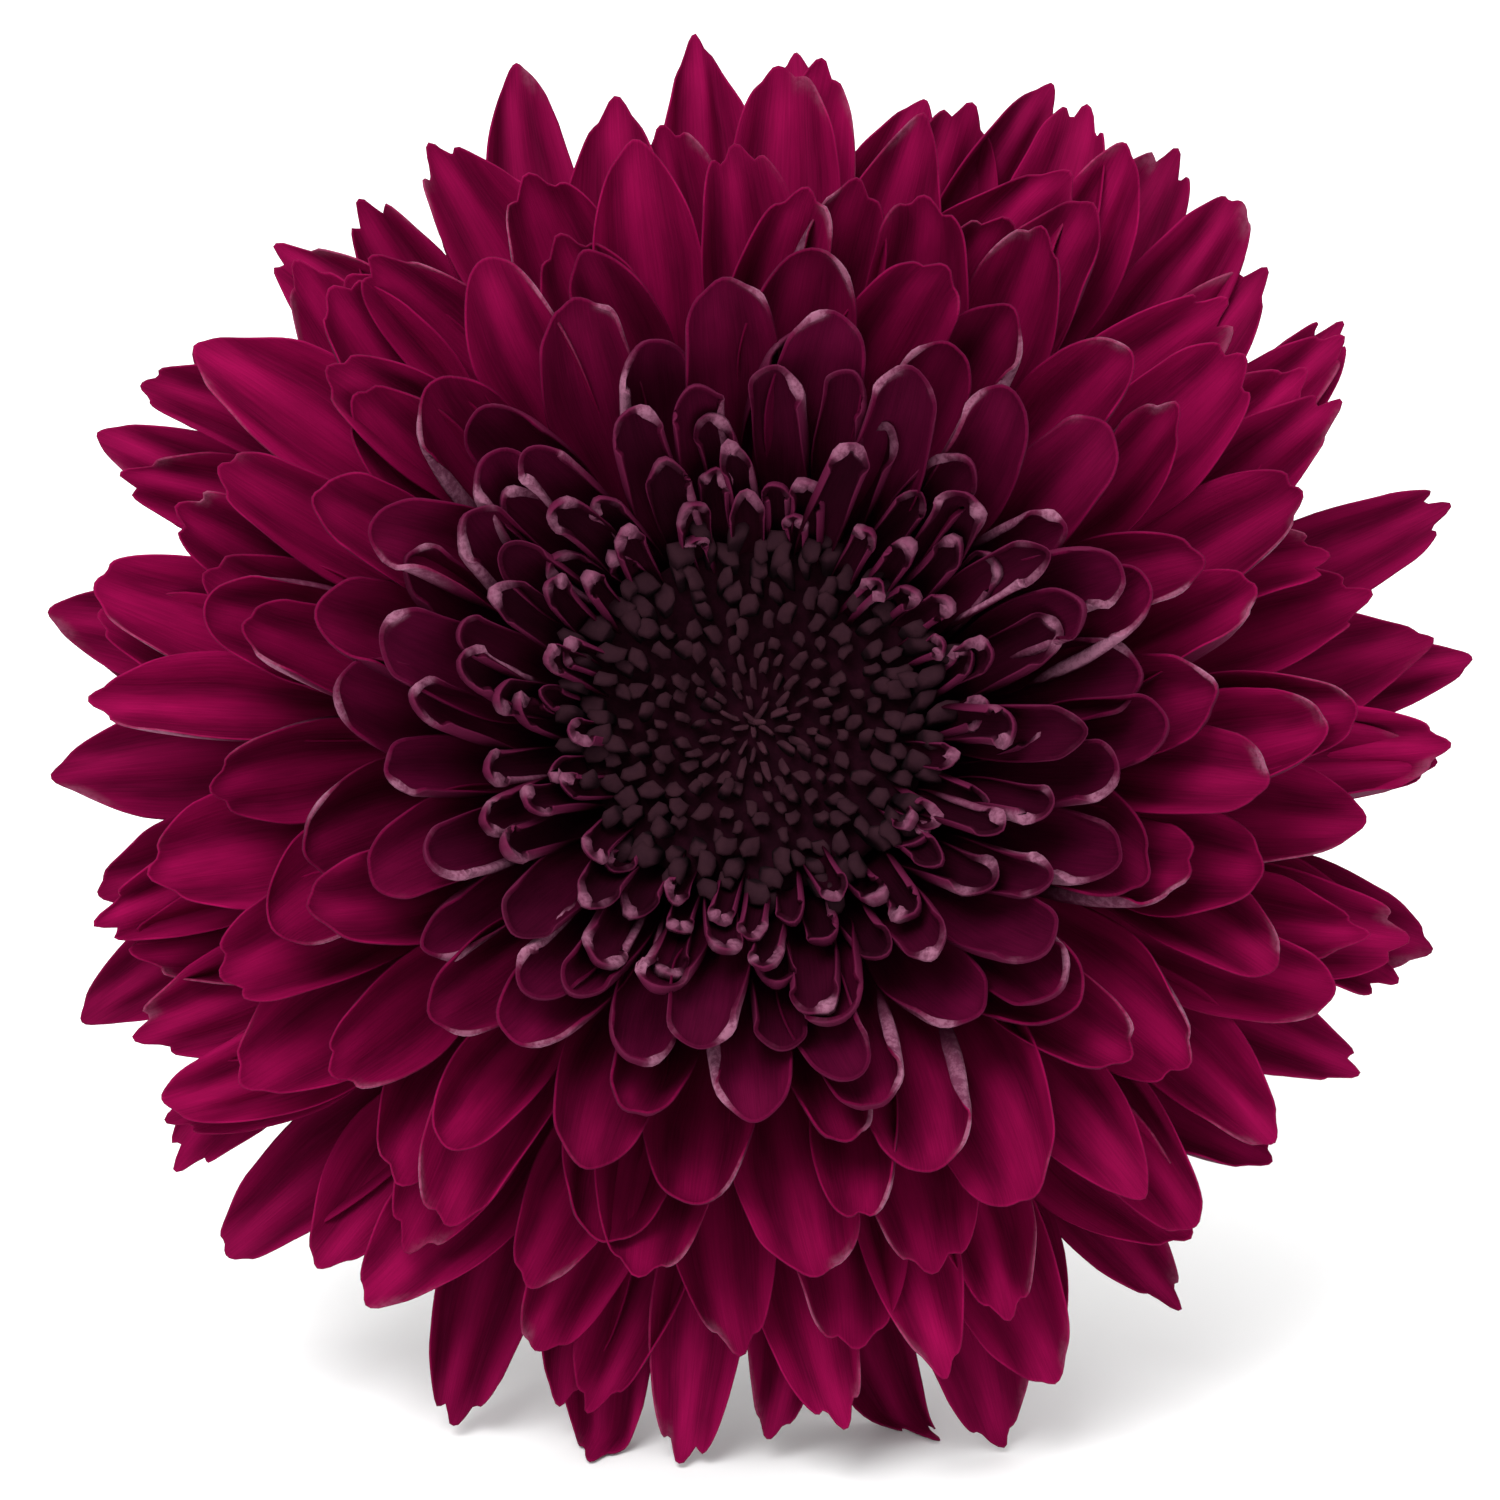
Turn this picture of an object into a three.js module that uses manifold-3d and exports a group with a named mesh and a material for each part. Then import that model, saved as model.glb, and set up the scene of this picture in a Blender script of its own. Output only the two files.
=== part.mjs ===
// A cremon chrysanthemum: one cut bloom on a short leafy stem, in millimetres, +Z up.
// It lies on the tips of its lower petals and on the cut end of the stem, and the bloom faces -Y.
// The origin is on the surface, under the middle of the part.
import * as THREE from "three";
import { mergeVertices } from "three/addons/utils/BufferGeometryUtils.js";
import Module from "manifold-3d";

const wasm = await Module();
wasm.setup();

const { degToRad, lerp, smoothstep } = THREE.MathUtils;
const GOLDEN_ANGLE = Math.PI * (3 - Math.sqrt(5));
const GAP = 0.3; // clearance between two pieces that meet
const TURN_SEGMENTS = 24; // of a shape turned about the axis

// How the bloom lies: its axis rises from the surface by this angle, and its centre stands this high.
const HEAD_TILT = degToRad(26);
const HEAD_HEIGHT = 46.5;
const HEAD_PLACE = [-0.3, -20.75]; // the centre's place along X and Y
const UP = new THREE.Vector3(0, Math.cos(HEAD_TILT), Math.sin(HEAD_TILT)); // the surface's up, for the bloom
const SETTLE = 0.6; // how gently a petal bends where it meets the surface
const SLIDE = 0.6; // how far its tip then slides out along the surface, as a share of its lift

// Ray florets. The bloom's own frame has its axis along +Z and the receptacle at the origin.
// A floret's age runs from 0, beside the disc, to 1, the outermost, and each list below goes with AGE.
const RAY_COUNT = 290;
const FIRST_RAY = 3; // its place in the spiral
const CROWDED_COUNT = 168; // the youngest stand so close that every fourth one stands for four
const RAY_THICKNESS = 1.1; // at the middle rib, thinning to the margins
const AGE = [0.0, 0.1, 0.22, 0.34, 0.45, 0.54, 0.65, 0.8, 1.0];
const TIP_RADIUS = [15.0, 17.6, 21.5, 26.6, 32.4, 38.0, 44.3, 51.2, 56.2];
const TIP_HEIGHT = [22.5, 24.5, 27.5, 29.6, 29.7, 27.4, 22.6, 13.5, 2.0];
const ROOT_POLAR = [42, 46, 51, 56, 61, 65, 71, 80, 94]; // where it leaves the receptacle, from the axis
const START_ANGLE = [14, 16, 20, 27, 34, 40, 48, 60, 80]; // its direction there, from the axis
const END_ANGLE = [34, 34, 32, 31, 34, 39, 50, 70, 98]; // its direction at the tip
const WIDTH = [3.1, 3.8, 5.2, 7.6, 9.8, 11.0, 11.4, 11.0, 10.2];
const CUP = [1.6, 1.55, 1.45, 1.3, 1.2, 1.1, 1.05, 1.0, 1.0]; // radians from the rib to a margin
const HOOK = [1.0, 1.2, 1.4, 1.6, 1.6, 1.4, 0.9, 0.5, 0.2]; // how far the tip bends in
const HANDLES = [0.4, 0.34]; // how long the curve's ends keep their directions, as shares of the chord
const FOOT_WIDTH = 0.17; // the tube at the foot, as a share of the width
const OPENING = [0.2, 0.84]; // where along it the tube has begun and ended to open
const TAPER_FROM = 0.7; // where along it the width begins to draw in
const TAPER = [0.05, 0.44]; // by what share, for the youngest and the oldest
const HOOK_FROM = 0.8;
const CLEARANCE = 3; // the youngest keep this far off the surface, the oldest lie on it
// The most that a floret differs from its age's values: a share of the value, or radians, or degrees.
const CHANCE = {
  azimuth: degToRad(2.6),
  azimuthByAge: [0.9, 2.0],
  radius: 0.045,
  height: [1, 3.5],
  startDegrees: 3,
  endDegrees: 12,
  width: 0.16,
  cup: 0.2,
  roll: degToRad(18),
  rollByAge: [1.3, 1.0],
  lean: degToRad(7),
  hook: 0.6,
};
const NOTCHED_SHARE = 0.35; // of all florets have a blunt, notched tip
const OUTLINE_FROM = 0.45; // the age from which the outline's capes show
// Capes of the outline: [azimuth, share of the radius, half width in degrees].
const OUTLINE = [[255, 0.05, 12], [285, 0.05, 12]];
const CUP_SHARE = 0.55; // a three-line section is shallower than the curved one that it stands for
// Rings of a floret: the place along it of the rib and of the margins, and the margins' share of the width.
const LONG_RINGS = [[0, 0, 1], [0.32, 0.32, 1], [0.62, 0.62, 1], [0.87, 0.84, 0.95], [1, 0.965, 0.5]];
const SHORT_RINGS = [[0.3, 0.3, 1], [0.6, 0.6, 1], [0.87, 0.84, 0.95], [1, 0.965, 0.5]];

// Receptacle with the packed roots of the inner florets: [radius, height] from its flat underside to its top.
const RECEPTACLE_RADIUS = 12;
const RECEPTACLE_HEIGHT = 8.5;
const ROOT_DEPTH = 1.2; // how far a floret's root is sunk
const RECEPTACLE_BASE = -1.3;
const PACKED_ROOTS = [
  [0, RECEPTACLE_BASE], [11.4, RECEPTACLE_BASE], [11.6, 0], [19, 3], [25, 8],
  [25, 14], [19, 18.5], [13, 17], [0, 12.5],
];

// Disc florets: a cone of packed florets whose buds stand out of its dished top.
const BUD_COUNT = 84;
const BUD_SIDES = 4;
const DISC_FOOT = [5.2, 5.6]; // [radius, height]
const DISC_RIM = [13.2, 20.4];
const DISC_CENTRE_HEIGHT = 17.2;
const DISC_TOP_SHARES = [0.75, 0.45]; // where the dished top's rings lie between the rim and the centre
const BUD_SIZE = [0.62, 1.1]; // half width, from the centre to the rim
const BUD_HEIGHT = [0.7, 2.1];
const BUD_FOOT = [-0.5, 0.55]; // how deep its foot is sunk, and the foot's share of the half width
const BUD_LEAN = 0.35; // how far the outermost leans out, as a slope
const BUD_SPACING = 0.62; // the power that spaces the buds, crowded towards the centre
const DISC_CLEAR_RADIUS = 14.1; // no ray floret reaches inside this above the rim

// Involucre: the green cup under the head, with its bracts.
const INVOLUCRE = [[3.7, -12.5], [4.4, -11.4], [7.8, -8.6], [10.4, -5.2], [11.6, -1.6]];
const BRACT_COUNT = 22;
const BRACT_THICKNESS = 0.9;
const BRACT_WIDTH = 6.0;
const BRACT_FEET = [0.16, 0.6]; // where the lowest and the highest begin, as shares of the way up the flank
const BRACT_REACH = 0.38; // how far up the flank each goes
const BRACT_RINGS = [[0, 0.7], [0.35, 1], [0.7, 0.8], [1, 0.2]]; // [place along it, share of its width]
const BRACT_OFF = [-0.3, 1.5]; // how far its foot and its tip stand off the cup
const MARGIN_DEPTH = 0.35; // how far its margins lie behind its middle

// Stem, from the cup's foot to the cut end that rests on the surface.
const STEM_RADIUS = 2.8;
const STEM_RIB = 0.04; // share of the radius by which its ribs stand out
const STEM_END_SHIFT = [6, -3]; // across and up from the head's axis
const STEM_SIDES = 10;
const STEM_RINGS = 10;

// Leaves: [share of the stem from the head, azimuth, length, half width]. The outline is [share of the
// length, share of the half width] along one side, with three lobes, and the margins lie a little forward.
const LEAVES = [[0.34, 158, 46, 14], [0.52, 22, 50, 15], [0.12, 100, 24, 4.2]];
const LOBES = [
  [0, 0.06], [0.2, 0.06], [0.25, 0.3], [0.3, 0.62], [0.36, 0.56], [0.4, 0.27], [0.46, 0.6], [0.52, 0.98],
  [0.58, 0.86], [0.62, 0.42], [0.68, 0.62], [0.74, 0.8], [0.79, 0.64], [0.82, 0.42], [0.88, 0.45],
  [0.95, 0.24], [1, 0.03],
];
const LEAF_THICKNESS = 1.0; // at the midrib
const LEAF_FORWARD = 0.3; // how far forward a margin lies, as a share of its distance from the midrib
const LEAF_FOLD = 0.28; // how far up
const MIDRIB = [[0, 0], [0.2, 0.26], [0.5, 0.5], [0.8, 0.42]]; // [out, along the stem] over its length
const SIMPLE_BELOW = 30; // a leaf shorter than this has no lobes
const SIMPLE_FOOT = 0.06; // and its foot is this share of its half width

const vector = (x, y, z) => new THREE.Vector3(x, y, z);

// A repeatable draw in 0 to 1 for item i and purpose k, and the same in -1 to 1.
function draw(i, k) {
  const x = Math.sin(i * 12.9898 + k * 78.233) * 43758.5453;
  return x - Math.floor(x);
}
const swing = (i, k) => 2 * draw(i, k) - 1;

// The value at an age, straight between the entries of its list.
function atAge(list, age) {
  let k = 1;
  while (k < AGE.length - 1 && AGE[k] < age) k++;
  return lerp(list[k - 1], list[k], (age - AGE[k - 1]) / (AGE[k] - AGE[k - 1]));
}

// A closed solid through rings of points, each ring with the same number of them, closed at both ends.
function loft(rings) {
  const sides = rings[0].length;
  const positions = rings.flat().flatMap((p) => p.toArray());
  const index = [];
  for (let k = 0; k + 1 < rings.length; k++)
    for (let j = 0; j < sides; j++) {
      const a = k * sides + j;
      const b = k * sides + ((j + 1) % sides);
      index.push(a, a + sides, b, b, a + sides, b + sides);
    }
  const last = (rings.length - 1) * sides;
  for (let j = 1; j + 1 < sides; j++) {
    index.push(0, j, j + 1);
    index.push(last, last + j + 1, last + j);
  }
  return new wasm.Manifold(
    new wasm.Mesh({
      numProp: 3,
      vertProperties: new Float32Array(positions),
      triVerts: new Uint32Array(index),
    }),
  );
}

// A three.js geometry as a solid.
function solidOf(geometry) {
  const bare = geometry.clone();
  bare.deleteAttribute("normal");
  bare.deleteAttribute("uv");
  const merged = mergeVertices(bare, 1e-4);
  return new wasm.Manifold(
    new wasm.Mesh({
      numProp: 3,
      vertProperties: merged.attributes.position.array,
      triVerts: new Uint32Array(merged.index.array),
    }),
  );
}

// A solid turned about the Z axis from [radius, height] points that start and end on the axis, bottom first.
function turned(profile, segments) {
  const points = profile.map(([radius, height]) => new THREE.Vector2(radius, height));
  return solidOf(new THREE.LatheGeometry(points, segments).rotateX(Math.PI / 2));
}

// The largest body of a solid, as a mesh: loose scraps and sealed hollows stay behind.
function meshOf(name, solid, material) {
  const bodies = solid.decompose().sort((a, b) => b.volume() - a.volume());
  const { vertProperties, triVerts } = bodies[0].getMesh();
  const geometry = new THREE.BufferGeometry()
    .setAttribute("position", new THREE.BufferAttribute(vertProperties, 3))
    .setIndex(new THREE.BufferAttribute(triVerts, 1))
    .toNonIndexed();
  geometry.computeVertexNormals();
  const mesh = new THREE.Mesh(geometry, material);
  mesh.name = name;
  return mesh;
}

const joined = (solids) => solids.reduce((all, next) => all.add(next));

// How far a point must rise to stay above the surface by the clearance, with a soft bend.
function liftOf(point, clearance) {
  const height = HEAD_HEIGHT + point.dot(UP) - clearance;
  return height > 20 * SETTLE ? 0 : SETTLE * Math.log1p(Math.exp(height / SETTLE)) - height;
}

// A point of a petal moved up by its lift, and outwards along the surface so that the petal keeps its length.
function settled(point, lift) {
  const outwards = vector(point.x, point.y, 0).projectOnPlane(UP).normalize();
  return point.addScaledVector(UP, lift).addScaledVector(outwards, SLIDE * lift);
}

// The outline's share of the plain radius at an azimuth.
function outlineAt(azimuth) {
  return OUTLINE.reduce((share, [centre, depth, spread]) => {
    const off = THREE.MathUtils.euclideanModulo(THREE.MathUtils.radToDeg(azimuth) - centre + 180, 360) - 180;
    return share + depth * Math.exp(-((off / spread) ** 2));
  }, 1);
}

// Ray floret i: its rib is a cubic curve in the plane through the axis, and its section turns up on both
// sides of the rib, more for a young floret, so that the inner ones are scoops.
function rayFloret(i) {
  const age = i / (RAY_COUNT - 1);
  const astray = CHANCE.azimuth * swing(i, 73) * lerp(...CHANCE.azimuthByAge, age);
  const azimuth = (i + FIRST_RAY) * GOLDEN_ANGLE + astray;
  const polar = degToRad(atAge(ROOT_POLAR, age));
  const start = degToRad(atAge(START_ANGLE, age) + CHANCE.startDegrees * swing(i, 219));
  const end = degToRad(atAge(END_ANGLE, age) + CHANCE.endDegrees * swing(i, 237));
  const root = new THREE.Vector2(
    RECEPTACLE_RADIUS * Math.sin(polar) - ROOT_DEPTH,
    RECEPTACLE_HEIGHT * Math.cos(polar),
  );
  const outline = lerp(1, outlineAt(azimuth), smoothstep(age, OUTLINE_FROM, 0.9));
  const tip = new THREE.Vector2(
    atAge(TIP_RADIUS, age) * (1 + CHANCE.radius * swing(i, 2)) * outline,
    atAge(TIP_HEIGHT, age) + lerp(...CHANCE.height, age) * swing(i, 212),
  );
  const chord = root.distanceTo(tip);
  const rib = new THREE.CubicBezierCurve(
    root,
    new THREE.Vector2(Math.sin(start), Math.cos(start)).multiplyScalar(HANDLES[0] * chord).add(root),
    new THREE.Vector2(Math.sin(end), Math.cos(end)).multiplyScalar(-HANDLES[1] * chord).add(tip),
    tip,
  );
  const width = atAge(WIDTH, age) * (1 + CHANCE.width * swing(i, 201));
  const cup = CUP_SHARE * atAge(CUP, age) * (1 + CHANCE.cup * swing(i, 205));
  const roll = CHANCE.roll * swing(i, 8) * lerp(...CHANCE.rollByAge, age);
  const lean = CHANCE.lean * swing(i, 161);
  const hook = atAge(HOOK, age) * (1 + CHANCE.hook * swing(i, 12));
  const clearance = CLEARANCE * (1 - age);

  // The point at the share w of the length and the share v of the half width, in the bloom's frame,
  // set off from the blade's middle surface along the rib's normal.
  function place(w, v, offset) {
    const { x: radius, y: height } = rib.getPoint(w);
    const along = rib.getTangent(w);
    const grow = lerp(FOOT_WIDTH, 1, smoothstep(w, ...OPENING));
    const taper = 1 - lerp(...TAPER, age) * smoothstep(w, TAPER_FROM, 1);
    const half = (width / 2) * grow * taper;
    const turn = cup * v;
    const across = half * (Math.abs(turn) > 1e-6 ? (Math.sin(turn) / turn) * v : v);
    const rise = half * (Math.abs(turn) > 1e-6 ? ((1 - Math.cos(turn)) / turn) * v : 0);
    const bend = rise + hook * smoothstep(w, HOOK_FROM, 1) ** 1.6;
    const tilt = roll * smoothstep(w, OPENING[0], HOOK_FROM);
    const sideways = across * Math.cos(tilt) - (bend + offset) * Math.sin(tilt);
    const outward = across * Math.sin(tilt) + (bend + offset) * Math.cos(tilt);
    const r = radius - along.y * outward;
    const z = height + along.x * outward;
    const angle = azimuth + lean * w * w;
    return vector(
      r * Math.cos(angle) - sideways * Math.sin(angle),
      r * Math.sin(angle) + sideways * Math.cos(angle),
      z,
    );
  }
  const notched = draw(i, 10) < NOTCHED_SHARE;
  const stations = i < CROWDED_COUNT ? SHORT_RINGS : LONG_RINGS;
  const rings = stations.map(([middle, margin, share], k) => {
    const last = k === stations.length - 1;
    const w = last && notched ? margin - 0.01 : middle;
    const faces = [1, -1].map((sign) => place(w, 0, (sign * RAY_THICKNESS) / 2));
    const lift = Math.max(...faces.map((point) => liftOf(point, clearance)));
    const [up, down] = faces.map((point) => settled(point, lift));
    const [left, right] = [-share, share].map((v) => {
      const point = place(margin, v, 0);
      return settled(point, liftOf(point, clearance));
    });
    return [left, up, right, down];
  });
  return loft(rings);
}

// The solid that the disc has to itself, grown by a clearance.
function discRoom(clearance) {
  const [footRadius, footHeight] = DISC_FOOT;
  const [rimRadius, rimHeight] = DISC_RIM;
  return turned(
    [
      [0, footHeight - clearance],
      [footRadius + clearance, footHeight - clearance],
      [rimRadius + clearance, rimHeight],
      [DISC_CLEAR_RADIUS, rimHeight + 1.5],
      [DISC_CLEAR_RADIUS, 2 * rimHeight],
      [0, 2 * rimHeight],
    ],
    TURN_SEGMENTS,
  );
}

// The solid under the head, up to a height, that the involucre has to itself.
function involucreRoom(top) {
  return turned([[0, -25], [17, -25], [17, top], [0, top]], TURN_SEGMENTS);
}

function rayFlorets() {
  const core = turned(PACKED_ROOTS, TURN_SEGMENTS);
  const numbers = Array.from({ length: RAY_COUNT }, (_, i) => i);
  const built = numbers.filter((i) => i >= CROWDED_COUNT || i % 4 === 0);
  const bloom = joined([core, ...built.map(rayFloret)]);
  return bloom.subtract(discRoom(GAP)).subtract(involucreRoom(RECEPTACLE_BASE));
}

// The disc: its dished top rises towards the rim, and the buds grow larger and taller outwards.
function discFlorets() {
  const [footRadius, footHeight] = DISC_FOOT;
  const [rimRadius, rimHeight] = DISC_RIM;
  const topHeight = (r) => lerp(DISC_CENTRE_HEIGHT, rimHeight, (r / rimRadius) ** 2);
  const cone = turned(
    [
      [0, footHeight],
      [footRadius, footHeight],
      [rimRadius, rimHeight],
      ...DISC_TOP_SHARES.map((share) => [rimRadius * share, topHeight(rimRadius * share)]),
      [0, DISC_CENTRE_HEIGHT],
    ],
    TURN_SEGMENTS,
  );
  const buds = Array.from({ length: BUD_COUNT }, (_, i) => {
    const share = ((i + 0.5) / BUD_COUNT) ** BUD_SPACING;
    const r = (rimRadius - 0.9) * share;
    const azimuth = i * GOLDEN_ANGLE;
    const centre = vector(r * Math.cos(azimuth), r * Math.sin(azimuth), topHeight(r));
    const lean = BUD_LEAN * share;
    const axis = vector(Math.cos(azimuth) * lean, Math.sin(azimuth) * lean, 1).normalize();
    const size = lerp(...BUD_SIZE, share) * (1 + 0.18 * swing(i, 21));
    const tall = lerp(...BUD_HEIGHT, share) * (1 + 0.25 * swing(i, 22));
    const side = vector(0, 0, 1).cross(vector(Math.cos(azimuth), Math.sin(azimuth), 0));
    const out = side.clone().cross(axis);
    return loft(
      [BUD_FOOT, [tall, 1]].map(([height, widthShare]) =>
        Array.from({ length: BUD_SIDES }, (_, k) => {
          const angle = (2 * Math.PI * (k + draw(i, 23))) / BUD_SIDES;
          return centre
            .clone()
            .addScaledVector(axis, height)
            .addScaledVector(side, size * widthShare * Math.cos(angle))
            .addScaledVector(out, size * widthShare * Math.sin(angle));
        }),
      ),
    );
  });
  return joined([cone, ...buds]);
}

// The involucre: a cup with bracts in spiral rows that lie up its flank and part from it at their tips.
function involucre() {
  const cup = turned([[0, INVOLUCRE[0][1]], ...INVOLUCRE, [0, INVOLUCRE.at(-1)[1]]], TURN_SEGMENTS);
  const flank = new THREE.SplineCurve(INVOLUCRE.map(([r, z]) => new THREE.Vector2(r, z)));
  const bracts = Array.from({ length: BRACT_COUNT }, (_, i) => {
    const share = i / (BRACT_COUNT - 1);
    const azimuth = i * GOLDEN_ANGLE;
    const foot = lerp(...BRACT_FEET, share);
    const rings = BRACT_RINGS.map(([w, widthShare]) => {
      const base = flank.getPoint(Math.min(1, foot + w * BRACT_REACH));
      const slope = flank.getTangent(Math.min(1, foot + w * BRACT_REACH));
      const half = (BRACT_WIDTH / 2) * lerp(0.75, 1, share) * widthShare;
      const off = lerp(...BRACT_OFF, w * w);
      const point = (across, out) => {
        const r = base.x + slope.y * (off + out);
        const z = base.y - slope.x * (off + out);
        const angle = azimuth + across / Math.max(4, r);
        return vector(r * Math.cos(angle), r * Math.sin(angle), z);
      };
      return [
        point(-half, -MARGIN_DEPTH),
        point(0, -BRACT_THICKNESS / 2),
        point(half, -MARGIN_DEPTH),
        point(0, BRACT_THICKNESS / 2),
      ];
    });
    return loft(rings);
  });
  return joined([cup, ...bracts]).intersect(involucreRoom(RECEPTACLE_BASE - GAP));
}

// The stem's middle line leaves the cup straight and ends parallel to the head's axis, just high enough for
// the lowest rib of the cut end to touch the surface.
function stemPath() {
  const [across, rise] = STEM_END_SHIFT;
  const endHeight = STEM_RADIUS * (1 + STEM_RIB) * UP.y;
  const endAlong = (endHeight - HEAD_HEIGHT - rise * UP.y) / UP.z;
  const top = vector(0, 0, INVOLUCRE[0][1] - GAP);
  const end = vector(across, rise, endAlong);
  const reach = vector(0, 0, (top.z - end.z) / 3);
  return new THREE.CubicBezierCurve3(top, top.clone().sub(reach), end.clone().add(reach), end);
}

function stem(path) {
  const rings = Array.from({ length: STEM_RINGS }, (_, k) => {
    const share = k / (STEM_RINGS - 1);
    const centre = path.getPoint(share);
    const along = path.getTangent(share);
    const down = UP.clone().negate().projectOnPlane(along).normalize();
    const side = down.clone().cross(along);
    return Array.from({ length: STEM_SIDES }, (_, j) => {
      const angle = (2 * Math.PI * j) / STEM_SIDES;
      const radius = STEM_RADIUS * (1 + STEM_RIB * Math.cos((STEM_SIDES / 2) * angle));
      return centre
        .clone()
        .addScaledVector(down, radius * Math.cos(angle))
        .addScaledVector(side, radius * Math.sin(angle));
    });
  });
  return loft(rings);
}

// A leaf: its midrib leaves the stem at a slant towards the head and arches out, and its lobed sides fold up.
function leaf(path, [share, azimuthDegrees, length, halfWidth]) {
  const azimuth = degToRad(azimuthDegrees);
  const out = vector(Math.cos(azimuth), Math.sin(azimuth), 0);
  const axis = vector(0, 0, 1);
  const side = axis.clone().cross(out);
  const root = path.getPoint(share).addScaledVector(out, STEM_RADIUS * (1 + STEM_RIB) + GAP);
  const at = ([r, z]) => root.clone().addScaledVector(out, r * length).addScaledVector(axis, z * length);
  const midrib = new THREE.CubicBezierCurve3(...MIDRIB.map(at));
  const simple = length < SIMPLE_BELOW;
  const rings = LOBES.map(([w, lobe]) => {
    const width = halfWidth * (simple ? lerp(SIMPLE_FOOT, 1, Math.sin(Math.PI * w)) : lobe);
    const along = midrib.getTangent(w);
    const up = along.clone().cross(side).negate();
    const centre = midrib.getPoint(w);
    const edge = (sign) =>
      centre
        .clone()
        .addScaledVector(side, sign * width)
        .addScaledVector(along, LEAF_FORWARD * width)
        .addScaledVector(up, LEAF_FOLD * width);
    return [
      edge(1),
      centre.clone().addScaledVector(up, LEAF_THICKNESS / 2),
      edge(-1),
      centre.clone().addScaledVector(up, -LEAF_THICKNESS / 2),
    ];
  });
  return loft(rings);
}

const petal = new THREE.MeshStandardMaterial({ name: "petal", color: 0x7e0d3e, roughness: 0.7 });
const bud = new THREE.MeshStandardMaterial({ name: "bud", color: 0x1e0a12, roughness: 0.8 });
const bract = new THREE.MeshStandardMaterial({ name: "bract", color: 0x55693a, roughness: 0.8 });
const green = new THREE.MeshStandardMaterial({ name: "stem_green", color: 0x5f7d3c, roughness: 0.7 });
const foliage = new THREE.MeshStandardMaterial({ name: "leaf_green", color: 0x3c5a2c, roughness: 0.75 });

const path = stemPath();
const head = new THREE.Group();
head.position.set(...HEAD_PLACE, HEAD_HEIGHT);
head.rotation.x = Math.PI / 2 - HEAD_TILT;
head.add(
  meshOf("ray_florets", rayFlorets(), petal),
  meshOf("disc_florets", discFlorets(), bud),
  meshOf("involucre", involucre(), bract),
  meshOf("stem", stem(path), green),
  ...LEAVES.map((one, k) => meshOf("leaf_" + (k + 1), leaf(path, one), foliage)),
);

const root = new THREE.Group();
root.add(head);

export default root;
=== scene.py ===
# %% [markdown]
# # A cremon chrysanthemum
#
# This lesson dresses one cut chrysanthemum bloom. The real flower is not one flower but a head of several
# hundred florets. The strap-shaped ray florets stand in spirals round a dark disc of unopened buds, and all
# of them grow from one small dome. So nearly everything here comes from one idea: a rule that says where
# floret number i stands, and a surface that says what a floret of that age looks like.

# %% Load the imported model
import math

import bmesh
import bpy
import numpy as np
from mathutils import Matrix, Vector


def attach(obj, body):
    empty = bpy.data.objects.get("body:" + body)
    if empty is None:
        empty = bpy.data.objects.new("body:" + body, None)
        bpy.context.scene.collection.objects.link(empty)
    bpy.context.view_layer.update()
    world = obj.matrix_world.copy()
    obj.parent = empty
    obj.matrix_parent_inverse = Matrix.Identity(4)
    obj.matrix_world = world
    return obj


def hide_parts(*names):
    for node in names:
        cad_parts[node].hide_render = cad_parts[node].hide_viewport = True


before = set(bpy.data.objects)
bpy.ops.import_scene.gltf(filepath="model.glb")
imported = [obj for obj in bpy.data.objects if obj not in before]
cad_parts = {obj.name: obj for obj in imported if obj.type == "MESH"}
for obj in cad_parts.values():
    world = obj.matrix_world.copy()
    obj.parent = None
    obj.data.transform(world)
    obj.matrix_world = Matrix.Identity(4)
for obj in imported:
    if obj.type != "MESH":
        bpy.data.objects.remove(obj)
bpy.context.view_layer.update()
MM = 0.001  # shapes are worked out in millimetres and built in metres
print("nodes:", sorted(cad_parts))

# %% [markdown]
# ## Repeatable chance
#
# Petals that are all alike look like plastic. Each one gets small differences drawn by chance, but the
# flower has to come out the same every time. A hash does both: the fraction of a big sine of the item's
# number looks random, and always gives the same draw. Each purpose has a seed of its own, so that a wide
# petal isn't always a long one too. With a random generator, a draw more or less would shift all the draws
# that follow.

# %% Draws, blends and steps
SEED = {
    "azimuth": 73, "radius": 2, "height": 212, "start": 219, "end": 237, "width": 201, "cup": 205, "roll": 8,
    "lean": 161, "tip curl": 12, "tip shape": 23, "tip length": 24, "teeth": 10, "teeth place": 11,
    "frill": 42, "frill place": 43, "margin curl": 16, "side": 13, "folded": 14, "fold": 15,
    "lip bright": 28, "lip place": 27, "second lip": 29, "lip_and_highlight": 22, "lip wave": 40, "lip wave place": 41,
    "ridge": 17, "ridge place": 21, "ruffle place": 25, "tint": 18, "pattern across": 19, "pattern along": 20,
    "bud radius": 30, "bud azimuth": 31, "bud size": 32, "bud height": 33, "bud lean": 34, "bud twist": 35,
    "bud oval": 36, "bud corners": 37, "bud slant": 39,
    "bract azimuth": 50, "bract width": 51, "bract tip": 52, "bract across": 54, "bract along": 55,
}


def draw(i, purpose):
    """A draw in 0 to 1 for item i: the fraction of 43758.5453 sin(12.9898 i + 78.233 k), with k the seed."""
    x = np.sin(np.asarray(i, float) * 12.9898 + SEED[purpose] * 78.233) * 43758.5453
    return x - np.floor(x)


def swing(i, purpose):
    """The same draw, spread over -1 to 1."""
    return 2 * draw(i, purpose) - 1


def mix(a, b, share):
    """The value that lies at a share of the way from a to b."""
    return a + (b - a) * share


def smooth(x, low, high):
    """0 below low, 1 above high, and 3t^2 - 2t^3 between."""
    t = np.clip((x - low) / (high - low), 0, 1)
    return t * t * (3 - 2 * t)


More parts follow.
